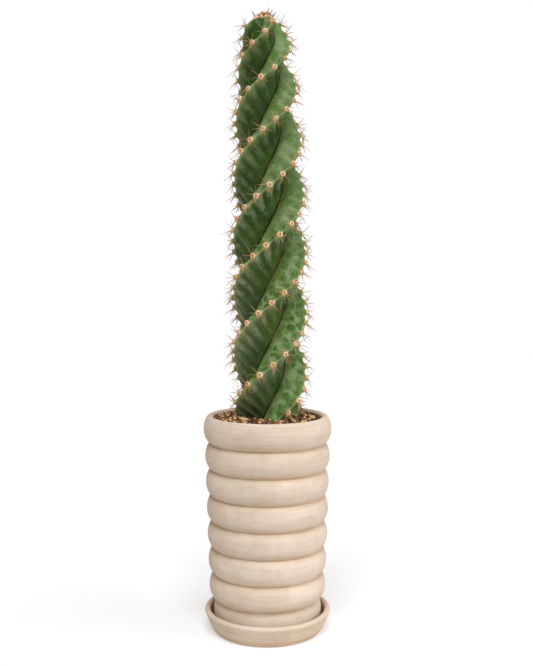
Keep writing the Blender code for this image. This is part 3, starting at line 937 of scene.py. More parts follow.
@dataclass(frozen=True)
class Pot:
    """A tall pot of eight equal turned rings, the lowest mostly inside the saucer, open inside with a drain hole."""

    ring_count: int = 8
    ring_height: float = 0.0309
    top_belly_height: float = 0.2390
    top_belly_radius: float = 0.0756
    second_belly_radius: float = 0.0738
    lowest_belly_radius: float = 0.0692
    foot_belly_radius: float = 0.0642
    groove_depth: float = 0.0056
    foot_groove_depth: float = 0.0030
    crease_shade_height: float = 0.0038
    ring_arc: float = 66.0
    foot_radius: float = 0.0602
    foot_rounding: float = 0.0010
    base: float = 0.0073
    floor: float = 0.0173
    cavity_floor_radius: float = 0.0560
    cavity_rounding: float = 0.0060
    drain_radius: float = 0.0090
    rim_height: float = 0.2555
    rim_crown_radius: float = 0.0690
    rim_inner_radius: float = 0.0640
    rim_inner_drop: float = 0.0030
    half_ring_steps: int = 14
    columns: int = 240
    wobble: float = 0.00022

    def belly_radius(self, ring: int) -> float:
        """Radius of a ring's belly, counted from 0 at the rim.

        Args:
            ring: Number of the ring.

        Returns:
            The radius in metres.
        """
        if ring == 0:
            return self.top_belly_radius
        if ring == self.ring_count - 1:
            return self.foot_belly_radius
        share = (ring - 1) / (self.ring_count - 3)
        return self.second_belly_radius + (self.lowest_belly_radius - self.second_belly_radius) * share

    def groove_radius(self, ring: int) -> float:
        """Radius at the bottom of the groove under a ring.

        Args:
            ring: Number of the ring.

        Returns:
            The radius in metres.
        """
        if ring == self.ring_count - 1:
            return self.foot_radius
        depth = self.foot_groove_depth if ring == self.ring_count - 2 else self.groove_depth
        return self.belly_radius(ring + 1) - depth

    def bow(self, edge: float, belly: float, middle: float, rise: float, start: float, end: float) -> Floats:
        """Half a ring, from an edge out to its belly or back, so that the rings meet in open grooves.

        A point stands at (cos u - cos U) / (1 - cos U) of the way out and at sin u / sin U of the rise, for u
        between two angles, where U is the larger of the two.

        Args:
            edge: Radius at the edge.
            belly: Radius of the belly.
            middle: Height of the belly.
            rise: Height from the belly to the edge.
            start: First angle in degrees.
            end: Last angle in degrees.

        Returns:
            Rows of radius and height.
        """
        full = math.radians(max(abs(start), abs(end)))
        angle = np.radians(np.linspace(start, end, self.half_ring_steps + 1))
        out = (np.cos(angle) - math.cos(full)) / (1.0 - math.cos(full))
        return joined(edge + (belly - edge) * out, middle + rise * np.sin(angle) / math.sin(full))

    def rings(self) -> Floats:
        """The outer side from the foot to the crown of the rim, each ring as two bows.

        Returns:
            Rows of radius and height, from the bottom up.
        """
        runs = []
        for ring in range(self.ring_count - 1, -1, -1):
            belly = self.belly_radius(ring)
            above = self.groove_radius(ring - 1) if ring else self.rim_crown_radius
            middle = self.top_belly_height - ring * self.ring_height
            rise = self.ring_height / 2 if ring else self.rim_height - self.top_belly_height
            runs.append(self.bow(self.groove_radius(ring), belly, middle, self.ring_height / 2, -self.ring_arc, 0)[:-1])
            runs.append(self.bow(above, belly, middle, rise, 0, self.ring_arc if ring else 90.0)[:-1])
        outline = np.vstack(runs)
        return outline[outline[:, 1] > self.base + self.foot_rounding + 0.0002]

    def inner_radius(self, height: Floats | float) -> Floats | float:
        """Radius of the inner wall, which leans evenly from the floor to the rim."""
        share = (height - self.floor) / (self.rim_height - self.rim_inner_drop - self.floor)
        return self.cavity_floor_radius + (self.rim_inner_radius - self.cavity_floor_radius) * share

    def profile(self) -> Floats:
        """The whole outline: up the rings, over the rim, down the inner wall, in along the floor and down the hole.

        Returns:
            Rows of radius and height, as a loop.
        """
        edge = self.foot_radius - self.foot_rounding
        lip = self.rim_crown_radius - self.rim_inner_radius
        seat = self.rim_height - self.rim_inner_drop
        bend_height = self.floor + self.cavity_rounding
        bend_radius = self.inner_radius(bend_height)
        heights = np.linspace(seat, bend_height, 26)[1:-1]
        corner = (bend_radius - self.cavity_rounding, bend_height)
        return np.vstack(
            [
                joined(np.linspace(self.drain_radius, edge, 12), self.base),
                arc((edge, self.base + self.foot_rounding), (self.foot_rounding, self.foot_rounding), -90, 0, 4)[1:],
                self.rings(),
                arc((self.rim_crown_radius, seat), (lip, self.rim_inner_drop), 90, 180, 9),
                joined(self.inner_radius(heights), heights),
                arc(corner, (self.cavity_rounding, self.cavity_rounding), 0, -90, 7),
                joined(np.linspace(corner[0], self.drain_radius, 12)[1:], self.floor),
            ]
        )

    def make(self) -> bpy.types.Object:
        """Turns the profile. The outer side sways a little, never outwards, and its grooves run slightly uneven.

        Returns:
            The piece.
        """
        profile = self.profile()
        grid = turned(np.vstack([profile, profile[:1]]), self.columns)
        radius = np.hypot(grid[..., 0], grid[..., 1])
        height = grid[..., 2]
        outside = ease(radius, self.foot_radius - 0.002, self.foot_radius + 0.002)
        outside = outside * ease(height, self.base + 0.004, self.base + 0.012)
        sway = 0.7 * lumps(grid, 0.06, 21) + 0.3 * lumps(grid, 0.018, 22) - 1.0
        grid = grid * (1.0 + LEVEL * (sway * self.wobble * outside / radius)[..., None])
        rise = lumps(grid * np.array([1.0, 1.0, 0.2]), 0.05, 23) * self.wobble * 1.6
        grid[..., 2] += rise * outside * ease(height, self.rim_height, self.rim_height - 0.012)
        body = ring_body(grid)
        # Painted shade: darker clay in the grooves between the rings and on the inner wall just below the rim.
        lowest = self.top_belly_height - (self.ring_count - 0.5) * self.ring_height
        turn = (height - lowest) / self.ring_height
        from_groove = np.abs(turn - np.round(turn)) * self.ring_height
        painted_shade = bell(from_groove, self.crease_shade_height) * (height < self.top_belly_height) * outside
        inner = (radius < self.inner_radius(height) + 0.0004) & (height > self.floor)
        painted_shade = np.maximum(painted_shade, inner * ease(height, self.rim_height - 0.0005, self.rim_height - 0.004))
        body.marks["painted_shade"] = painted_shade[:-1].ravel()
        piece = build("pot_rings", body, [POT_CLAY.material()])
        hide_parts("pot")
        return piece


# The stem.


@dataclass(frozen=True)
class SpiralStem:
    """The stem's shape: four ribs that wind round a middle which leans a little, with a row of areoles on each.

    Heights are metres above the saucer's underside, and twists are degrees for each millimetre of height. In the
    relief, swellings, dents, seats, valleys and pillows are depths in metres. The place and reach of a dent and the
    reach of a valley are shares of the way from the crest to the valley.
    """

    ribs: int = 4
    foot: float = 0.2525
    top: float = 0.7160
    radius: float = 0.0432
    foot_radius: float = 0.0375
    flare_height: float = 0.0280
    taper_start: float = 0.4300
    taper_shape: float = 1.4
    taper_power: float = 0.22
    valley_share: float = 0.457
    upper_flank: float = 32.0
    crest_rounding: float = 0.11
    crest_arc: float = 62.0
    flank_bulge: float = 0.06
    axis_at_foot: float = 0.0026
    axis_lean: float = -0.0061
    axis_power: float = 3.0
    twist_below_middle: float = 1.308
    twist_at_tip: float = 2.40
    twist_ease: float = 2.4
    straight_tip: float = 0.030
    front_crest_height: float = 0.4534
    rib_turns: tuple[float, ...] = (-2.6, -1.9, 0.8, 3.6)
    rib_swings: tuple[tuple[int, float, float], ...] = ((1, 11.5, 13.7), (2, 3.7, -9.5))
    areole_steps: tuple[float, ...] = (0.01197, 0.01146, 0.01149, 0.01228)
    first_areoles: tuple[float, ...] = (0.0095, 0.0102, 0.0089, 0.0107)
    last_areole: float = 0.0050
    rows: int = 378
    upper_columns: int = 24
    crest_columns: int = 9
    lower_columns: int = 31
    lower_groove_fall: float = 0.0300
    upper_groove_rise: float = 0.0120
    scallop: float = 0.0008
    upper_swelling: float = 0.0009
    lower_swelling: float = 0.0014
    low_folds: float = 0.25
    dent: float = 0.0027
    dent_height: float = 0.0034
    dent_place: float = 0.27
    dent_reach: float = 0.15
    seat: float = 0.0007
    seat_height: float = 0.0030
    seat_reach: float = 0.0034
    valley: float = 0.0011
    valley_reach: float = 0.024
    pillow: float = 0.0012
    pillow_size: float = 0.0115
    unevenness: float = 0.0007
    blunting: float = 0.0025
    steps_ahead: float = 40.0

    def crest_radius(self, height: Floats) -> Floats:
        """Radius to the crests: a quarter sine flare at the foot, then steady, then a dome that closes at the top.

        The dome is one minus the rise's share to the power of 1.4, all to the power of 0.22.

        Args:
            height: Heights.

        Returns:
            One radius for each height.
        """
        flare = np.sin(np.clip((height - self.foot) / self.flare_height, 0.0, 1.0) * math.pi / 2)
        base = self.foot_radius + (self.radius - self.foot_radius) * flare
        rise = np.clip((height - self.taper_start) / (self.top - self.taper_start), 0.0, 1.0)
        return base * (1.0 - rise**self.taper_shape) ** self.taper_power

    def axis_offset(self, height: Floats | float) -> Floats:
        """How far the middle stands to the side along X: the foot's offset plus the lean times the share cubed."""
        share = np.clip((height - self.foot) / (self.top - self.foot), 0.0, 1.0)
        return self.axis_at_foot + self.axis_lean * share**self.axis_power

    def twist(self, height: Floats | float) -> Floats:
        """Turn of the ribs in radians, measured from mid-height.

        It is the lower half's rate times the place, from -1 at the foot to 1 at the tip, plus in the upper half the
        difference to the tip's rate times the place to the power of 3.4. In the last 30 mm the place grows ever
        slower, so that the ribs run straight into the tip.

        Args:
            height: Heights.

        Returns:
            One angle for each height.
        """
        half = (self.top - self.foot) / 2
        last = np.maximum(height - (self.top - self.straight_tip), 0.0)
        place = (height - last**2 / (2 * self.straight_tip) - self.foot - half) / half
        faster = np.maximum(place, 0.0) ** (self.twist_ease + 1) / (self.twist_ease + 1)
        turned_by = self.twist_below_middle * place + (self.twist_at_tip - self.twist_below_middle) * faster
        return np.radians(turned_by * half * 1000)

    def rib_angle(self, rib: Numbers | int, height: Floats | float) -> Floats:
        """Direction of a crest seen from above.

        An even rib faces the front, along -Y, at its stated height. Each swing then adds its size times the sine of
        its number of waves times the angle from where it spreads the ribs most.

        Args:
            rib: Numbers of the ribs.
            height: Heights.

        Returns:
            One angle for each rib and height.
        """
        turns = np.radians(np.array(self.rib_turns))[rib]
        level = self.twist(self.front_crest_height)
        from_front = TAU * np.asarray(rib) / self.ribs + turns + self.twist(height) - level
        angle = from_front - math.pi / 2
        for waves, size, widest in self.rib_swings:
            angle = angle + math.radians(size) * np.sin(waves * (from_front - math.radians(widest)))
        return angle

    def rib_gap(self, rib: int, height: Floats) -> Floats:
        """Angle from one rib's crest to the next one's, as a share of the even spacing."""
        following = self.rib_angle((rib + 1) % self.ribs, height)
        return ((following - self.rib_angle(rib, height)) % TAU) * self.ribs / TAU

    def crest_point(self, rib: Numbers | int, height: Floats) -> Floats:
        """The point of a crest at a height: the crest's radius along its direction, from the stem's middle."""
        point = polar(self.crest_radius(height), self.rib_angle(rib, height), height)
        return point + joined(self.axis_offset(height), 0.0, 0.0)

    def areoles(self) -> tuple[Numbers, Floats]:
        """Rib and height of every areole, evenly spaced up each crest.

        Returns:
            The ribs' numbers and the heights in metres, in the same order.
        """
        ribs, heights = [], []
        for rib in range(self.ribs):
            start = self.foot + self.first_areoles[rib]
            row = np.arange(start, self.top - self.last_areole, self.areole_steps[rib])
            ribs.append(np.full(len(row), rib))
            heights.append(row)
        return np.concatenate(ribs), np.concatenate(heights)

    def valley_point(self, angle: Floats | float) -> Floats:
        """The bottom of a valley at an angle in degrees from the crest, for a crest radius of 1."""
        turn = np.radians(angle)
        return self.valley_share * joined(np.cos(turn), np.sin(turn))

    def rib_outline(self, gap_above: Floats, gap_below: Floats) -> Floats:
        """One rib's section for a crest radius of 1, about the X axis, from the valley above to before the one below.

        The flanks run straight from the valleys to the ends of the crest's arc, bowed outwards by four times the
        bulge times s (1 - s). Their points stand closer together towards both ends.

        Args:
            gap_above: Angle to the crest above, as a share of the even spacing.
            gap_below: Angle to the crest below, told the same way.

        Returns:
            Points of shape (gaps, points, 2).
        """
        above = self.valley_point(-self.upper_flank * gap_above)[:, None]
        below = self.valley_point((360.0 / self.ribs - self.upper_flank) * gap_below)[:, None]
        around = (self.crest_rounding, self.crest_rounding)
        crest = arc((1.0 - self.crest_rounding, 0.0), around, -self.crest_arc, self.crest_arc, self.crest_columns - 1)

        def bowed(start: Floats, end: Floats, count: int) -> Floats:
            """A flank's points, without its last one.

            Args:
                start: Where it starts.
                end: Where it ends.
                count: Number of its points.

            Returns:
                The points in order, for every gap.
            """
            share = np.arange(count)[:, None] / count
            share = 0.55 * share + 0.45 * (1.0 - np.cos(math.pi * share)) / 2
            run = end - start
            outward = unit(joined(run[..., 1], -run[..., 0]))
            return start + run * share + outward * self.flank_bulge * 4 * share * (1.0 - share)

        upper = bowed(above, crest[0], self.upper_columns)
        lower = bowed(crest[-1], below, self.lower_columns + 1)[:, 1:]
        middle = np.broadcast_to(crest, (len(upper), *crest.shape))
        return np.concatenate([upper, middle, lower], axis=1)

    def inward_shares(self) -> tuple[Floats, Floats]:
        """For each point of a rib's outline, the share of the way in from the crest to the valley, and its flank.

        Returns:
            The shares by length along an evenly spaced rib, and 1 on the lower flank with 0 on the upper one.
        """
        outline = self.rib_outline(np.ones(1), np.ones(1))[0]
        closed = np.vstack([outline, self.valley_point(360.0 / self.ribs - self.upper_flank)])
        length = np.concatenate([[0.0], np.cumsum(np.linalg.norm(np.diff(closed, axis=0), axis=1))])
        top = self.upper_columns + (self.crest_columns - 1) // 2
        inward = np.abs(length - length[top])
        inward = np.where(np.arange(len(length)) < top, inward / inward[0], inward / inward[-1])[:-1]
        return inward, (np.arange(len(outline)) >= top).astype(float)

    def sections(self, heights: Floats) -> Floats:
        """The base shape without relief: each rib's outline times the crest's radius, turned to the rib's direction.

        Args:
            heights: Heights of the rows.

        Returns:
            Grid of shape (rows, points round, 3).
        """
        radius = self.crest_radius(heights)[:, None]
        offset = self.axis_offset(heights)[:, None]
        runs = []
        for rib in range(self.ribs):
            outline = self.rib_outline(self.rib_gap((rib - 1) % self.ribs, heights), self.rib_gap(rib, heights))
            angle = self.rib_angle(rib, heights)[:, None]
            x = (outline[..., 0] * np.cos(angle) - outline[..., 1] * np.sin(angle)) * radius
            y = (outline[..., 0] * np.sin(angle) + outline[..., 1] * np.cos(angle)) * radius
            runs.append(joined(x + offset, y, heights[:, None]))
        return np.concatenate(runs, axis=1)

    def row_heights(self) -> Floats:
        """Heights of the rows, at equal distances along the outline of the crests.

        Returns:
            The heights in metres, from the foot up.
        """
        dense = self.top - (self.top - self.foot) * (1.0 - np.linspace(0.0, 1.0, 6000)) ** 2
        radius = self.crest_radius(dense)
        length = np.concatenate([[0.0], np.cumsum(np.hypot(np.diff(dense), np.diff(radius)))])
        return np.interp(np.linspace(0.0, length[-1], self.rows + 1)[:-1], length, dense)

    def surface(self) -> Surface:
        """The stem's surface with its relief.

        Each point of the base shape moves along its normal: in at the notches between areoles, out where the flank
        swells beside an areole, in along the grooves that run from the notches across the flanks, and in at the
        valleys. Low on the upper flanks it rises in blisters, one for each cell of a scattered pattern. The last few
        millimetres are pressed down a little, to make room for the wool.

        Returns:
            The closed surface, with its marks: inward, lower, steps and pillow. The steps are all moved up by the
            same whole number, so that none is negative.
        """
        heights = self.row_heights()
        grid = self.sections(heights)
        count = grid.shape[1] // self.ribs
        inward, is_lower = (np.broadcast_to(np.tile(each, self.ribs), grid.shape[:2]) for each in self.inward_shares())
        scale = (self.crest_radius(heights) / self.radius)[:, None]
        first = np.repeat(self.foot + np.array(self.first_areoles), count)
        step = np.repeat(np.array(self.areole_steps), count)
        shift = np.where(is_lower > 0.5, self.lower_groove_fall * inward**1.25, -self.upper_groove_rise * inward)
        steps = (grid[..., 2] + shift * scale - first) / step
        pillow = cells(grid, self.pillow_size, 33)
        out = self.relief(grid, inward, is_lower, steps, scale, step)
        where = (1.0 - is_lower) * ease(inward, 0.10, 0.30) * ease(inward, 0.97, 0.75) * np.minimum(scale, 1.0)
        blister = np.sqrt(np.clip(pillow * 1.6, 0.0, 1.0)) - 0.8
        out = out + self.pillow * blister * where * (0.08 + 0.92 * ease(grid[..., 2], 0.44, 0.34))
        grid = grid + normals_of(grid) * out[..., None]
        grid[..., 2] -= self.blunting * ease(grid[..., 2], self.top - 0.018, self.top)
        flat = ease(grid[..., 2], self.foot, self.foot + 0.0015)
        grid[..., 2] = np.maximum(grid[..., 2], self.foot) * flat + self.foot * (1.0 - flat)
        foot = (self.axis_offset(self.foot), 0.0, self.foot)
        body = column_of(grid, foot, (self.axis_offset(self.top), 0.0, self.top - self.blunting))
        marks = {"inward": inward, "lower": is_lower, "steps": steps + self.steps_ahead, "pillow": pillow}
        body.marks = {name: np.append(values.ravel(), [1.0, 1.0]) for name, values in marks.items()}
        body.marks["lower"][-2:] = 0.5
        return body

    def relief(
        self, grid: Floats, inward: Floats, is_lower: Floats, steps: Floats, scale: Floats, step: Floats
    ) -> Floats:
        """How far each point moves outwards.

        Args:
            grid: The base shape's points.
            inward: Share of the way from the crest to the valley.
            is_lower: 1 on the lower flanks.
            steps: Place along the rib, counted in areoles.
            scale: The crest's radius as a share of the widest one.
            step: Distance between areoles on the rib.

        Returns:
            One distance in metres for each point.
        """
        wave = np.cos(TAU * steps)
        pleat = 0.45 * wave + 0.55 * (1.0 - 2.0 * np.abs(np.sin(math.pi * steps)))
        phase = steps - np.floor(steps)
        across = inward * self.radius * scale * np.where(is_lower > 0.5, 1.05, 0.80)
        lower_window = np.sin(math.pi * np.clip(inward * 1.05, 0.0, 1.0)) ** 0.7
        upper_window = np.sin(math.pi * np.clip(inward * 1.15 + 0.05, 0.0, 1.0)) ** 0.8
        folds = (0.75 + 0.55 * lumps(grid, 0.030, 34)) * (1.0 + self.low_folds * ease(grid[..., 2], 0.50, 0.34))
        lower_out = self.lower_swelling * lower_window * pleat * folds
        dents = bell(np.abs(phase - 0.5) * step, self.dent_height) * bell(inward - self.dent_place, self.dent_reach)
        upper_out = self.upper_swelling * upper_window * wave - self.dent * dents
        out = np.where(is_lower > 0.5, lower_out, upper_out)
        out -= self.scallop * (1.0 - wave) * bell(inward, 0.20)
        out += self.seat * bell(np.minimum(phase, 1.0 - phase) * step, self.seat_height) * bell(across, self.seat_reach)
        out -= self.valley * bell(1.0 - inward, self.valley_reach)
        out += self.unevenness * (lumps(grid, 0.021, 31) + 0.45 * lumps(grid, 0.0075, 32)) * ease(inward, 0.02, 0.2)
        return out * np.minimum(scale * 1.15, 1.0)

    def make(self) -> bpy.types.Object:
        """Builds the stem and stands it for the frame's stem.

        Returns:
            The piece.
        """
        piece = build("stem_skin", self.surface(), [SKIN.material()])
        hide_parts("stem")
        return piece


# Areoles, spines and the tip.


class Spray(Enum):
    """The kinds of spines round an areole, as (turn from straight down, lean from outwards, length in metres)."""

    CENTRAL = (14.0, 44.0, 0.0140)
    DOWN = (-8.0, 66.0, 0.0116)
    DOWN_LEFT = (-32.0, 62.0, 0.0124)
    DOWN_RIGHT = (42.0, 64.0, 0.0124)
    LEFT = (-86.0, 60.0, 0.0128)
    RIGHT = (80.0, 68.0, 0.0104)
    UP_LEFT = (-136.0, 60.0, 0.0130)
    UP_RIGHT = (168.0, 64.0, 0.0098)


@dataclass(frozen=True)
class SpineShape:
    """One spine of length 1 and foot radius 1, which tapers and bends to the side, in one finish or two."""

    sides: int = 5
    rows: int = 4
    bend: float = 2.4
    two_toned: bool = True

    def surface(self) -> Surface:
        """Rings whose radius is (1 - h) to the power of 0.6, moved along X by the bend times h squared, with a tip.

        Returns:
            The closed surface. Where it is two-toned, its lowest faces take finish 0, and those above them finish 1.
        """
        height = np.linspace(0.0, 1.0, self.rows + 1)[:-1, None]
        grid = polar((1.0 - height) ** 0.6, TAU * np.arange(self.sides) / self.sides, height)
        grid[..., 0] += self.bend * height**2
        body = column_of(grid, (0.0, 0.0, 0.0), (self.bend, 0.0, 1.0))
        if self.two_toned:
            body.quad_finish = (np.arange(len(body.quads)) >= self.sides).astype(np.int64)
            body.triangle_finish = (np.arange(len(body.triangles)) >= self.sides).astype(np.int64)
        return body


FIBRE = SpineShape(sides=3, rows=2, bend=4.0, two_toned=False)


@dataclass(frozen=True)
class CushionShape:
    """A woolly cushion of radius 1: a pale ring with a darker hollow in its middle."""

    columns: int = 14

    def surface(self) -> Surface:
        """Turns a low profile: up a rounded edge, over the ring and down into the middle, with small bumps.

        Returns:
            The closed surface. The ring's upper faces take finish 0, and its side and its hollow finish 1. The dark
            side is partly an outline and partly painted shade under the ring.
        """
        profile = np.array([[0.80, -0.45], [1.0, 0.0], [0.94, 0.38], [0.66, 0.62], [0.36, 0.44]])
        grid = turned(profile, self.columns)
        grid = grid * (1.0 + 0.20 * lumps(grid, 0.42, 41)[..., None])
        body = column_of(grid, (0.0, 0.0, -0.5), (0.0, 0.0, 0.26))
        # Painted shade, in part: the side under the ring takes the dark tan wool.
        body.quad_finish = (np.arange(len(body.quads)) < self.columns).astype(np.int64)
        body.triangle_finish = np.ones(len(body.triangles), np.int64)
        return body


@dataclass(frozen=True)
class Areoles:
    """The woolly cushions along the crests, their fibres and their spines."""

    stem: SpiralStem
    cushion_radius: float = 0.0034
    spine_radius: float = 0.00043
    spine_lift: float = 0.0003
    spine_spread: float = 0.0018
    turn_spread: float = 11.0
    lean_spread: float = 7.0
    usual: float = 0.88
    rare: float = 0.58
    rare_sprays: tuple[Spray, ...] = (Spray.RIGHT, Spray.UP_RIGHT)
    colour_shares: tuple[float, ...] = (0.5, 0.3, 0.2)
    fibre_radius: float = 0.00009
    fibre_length: float = 0.0017
    fibres: int = 26
    seed: int = 5

    def frames(self) -> tuple[Floats, Floats, Floats]:
        """Place, directions and size of every areole.

        Local Z looks outwards from the crest and a little up, local Y runs up the stem and local X to the side. Towards
        the tip the areoles get smaller, with the square root of the crest's radius.

        Returns:
            The places, one 3 by 3 matrix each, and one size each.
        """
        ribs, heights = self.stem.areoles()
        here = self.stem.crest_point(ribs, heights)
        along = unit(self.stem.crest_point(ribs, heights + 0.001) - here)
        radial = polar(1.0, self.stem.rib_angle(ribs, heights), 0.12)
        out = unit(radial - along * np.sum(radial * along, axis=-1, keepdims=True))
        side = unit(np.cross(np.array([0.0, 0.0, 1.0]), out))
        size = np.sqrt(self.stem.crest_radius(heights) / self.stem.radius)
        return here, joined(side, np.cross(out, side), out), np.clip(size, 0.62, 1.0)

    def make_cushions(self) -> bpy.types.Object:
        """One cushion on every areole, each turned and sized a little differently.

        Returns:
            The piece.
        """
        places, frames, sizes = self.frames()
        rng = np.random.default_rng(self.seed)
        turn = rng.uniform(0.0, TAU, len(places))
        height = polar(0.0, turn, rng.uniform(0.85, 1.15, len(places)))
        spin = joined(polar(1.0, turn, 0.0), joined(-np.sin(turn), np.cos(turn), 0.0), height)
        scale = self.cushion_radius * sizes * rng.uniform(0.92, 1.10, len(places))
        body = copies(CushionShape().surface(), frames @ spin * scale[:, None, None], places)
        return build("areole_cushions", body, [PALE_WOOL.material(), TAN_WOOL_AND_SHADE.material()])

    def make_fibres(self) -> bpy.types.Object:
        """Short curved fibres that stand out of every cushion's ring.

        Returns:
            The piece.
        """
        places, frames, sizes = self.frames()
        rng = np.random.default_rng(self.seed + 1)
        owner = np.repeat(np.arange(len(places)), self.fibres)
        count = len(owner)
        around = rng.uniform(0.0, TAU, count)
        reach = self.cushion_radius * sizes[owner] * rng.uniform(0.25, 0.95, count)
        lean = np.radians(rng.uniform(10.0, 65.0, count))
        rise = self.cushion_radius * sizes[owner] * 0.42 * np.sqrt(np.clip(1.15 - reach / 0.0032, 0.05, 1.0))
        feet = places[owner] + carried(frames[owner], polar(reach, around, rise))
        made = aimed(carried(frames[owner], polar(np.sin(lean), around, np.cos(lean))), rng)
        length = self.fibre_length * sizes[owner] * rng.uniform(0.6, 1.2, count)
        radius = self.fibre_radius * rng.uniform(0.8, 1.3, count)
        body = copies(FIBRE.surface(), slender(made, radius, length), feet)
        return build("areole_fibres", body, [CREAM_WOOL.material()])

    def spines(self) -> tuple[Floats, Floats, Numbers]:
        """Every spine's frame, foot and kind of colour.

        Returns:
            One 3 by 3 matrix and one foot for each spine, and a number from 0 to 2 for its colours.
        """
        places, frames, sizes = self.frames()
        count = len(places)
        rng = np.random.default_rng(self.seed + 2)
        found = []
        for spray in Spray:
            turn, lean, length = spray.value
            around = np.radians(turn + rng.normal(0.0, self.turn_spread, count))
            tilt = np.radians(lean + rng.normal(0.0, self.lean_spread, count))
            reach = length * rng.uniform(0.82, 1.22, count) * np.clip(sizes, 0.92, 1.0)
            local = joined(np.sin(around) * np.sin(tilt), -np.cos(around) * np.sin(tilt), np.cos(tilt))
            made = aimed(carried(frames, local), rng)
            made = slender(made, self.spine_radius * rng.uniform(0.85, 1.15, count), reach)
            there = rng.uniform(size=count) < (self.rare if spray in self.rare_sprays else self.usual)
            feet = places + frames[:, :, 2] * self.spine_lift + carried(frames, local * self.spine_spread)
            kinds = rng.choice(len(self.colour_shares), count, p=self.colour_shares)
            found.append((made[there], feet[there], kinds[there]))
        return tuple(np.concatenate(column) for column in zip(*found))

    def make_spines(self) -> list[bpy.types.Object]:
        """The spines as three joined meshes, by their colours.

        Returns:
            The three pieces.
        """
        frames, feet, kinds = self.spines()
        amber, brown = SPINE_AMBER.material(), SPINE_BROWN.material()
        straw, olive = SPINE_STRAW.material(), SPINE_OLIVE.material()
        pairs = {"spines_brown": [amber, brown], "spines_amber": [olive, amber], "spines_straw": [amber, straw]}
        shape = SpineShape().surface()
        return [
            build(name, copies(shape, frames[kinds == number], feet[kinds == number]), finishes)
            for number, (name, finishes) in enumerate(pairs.items())
        ]


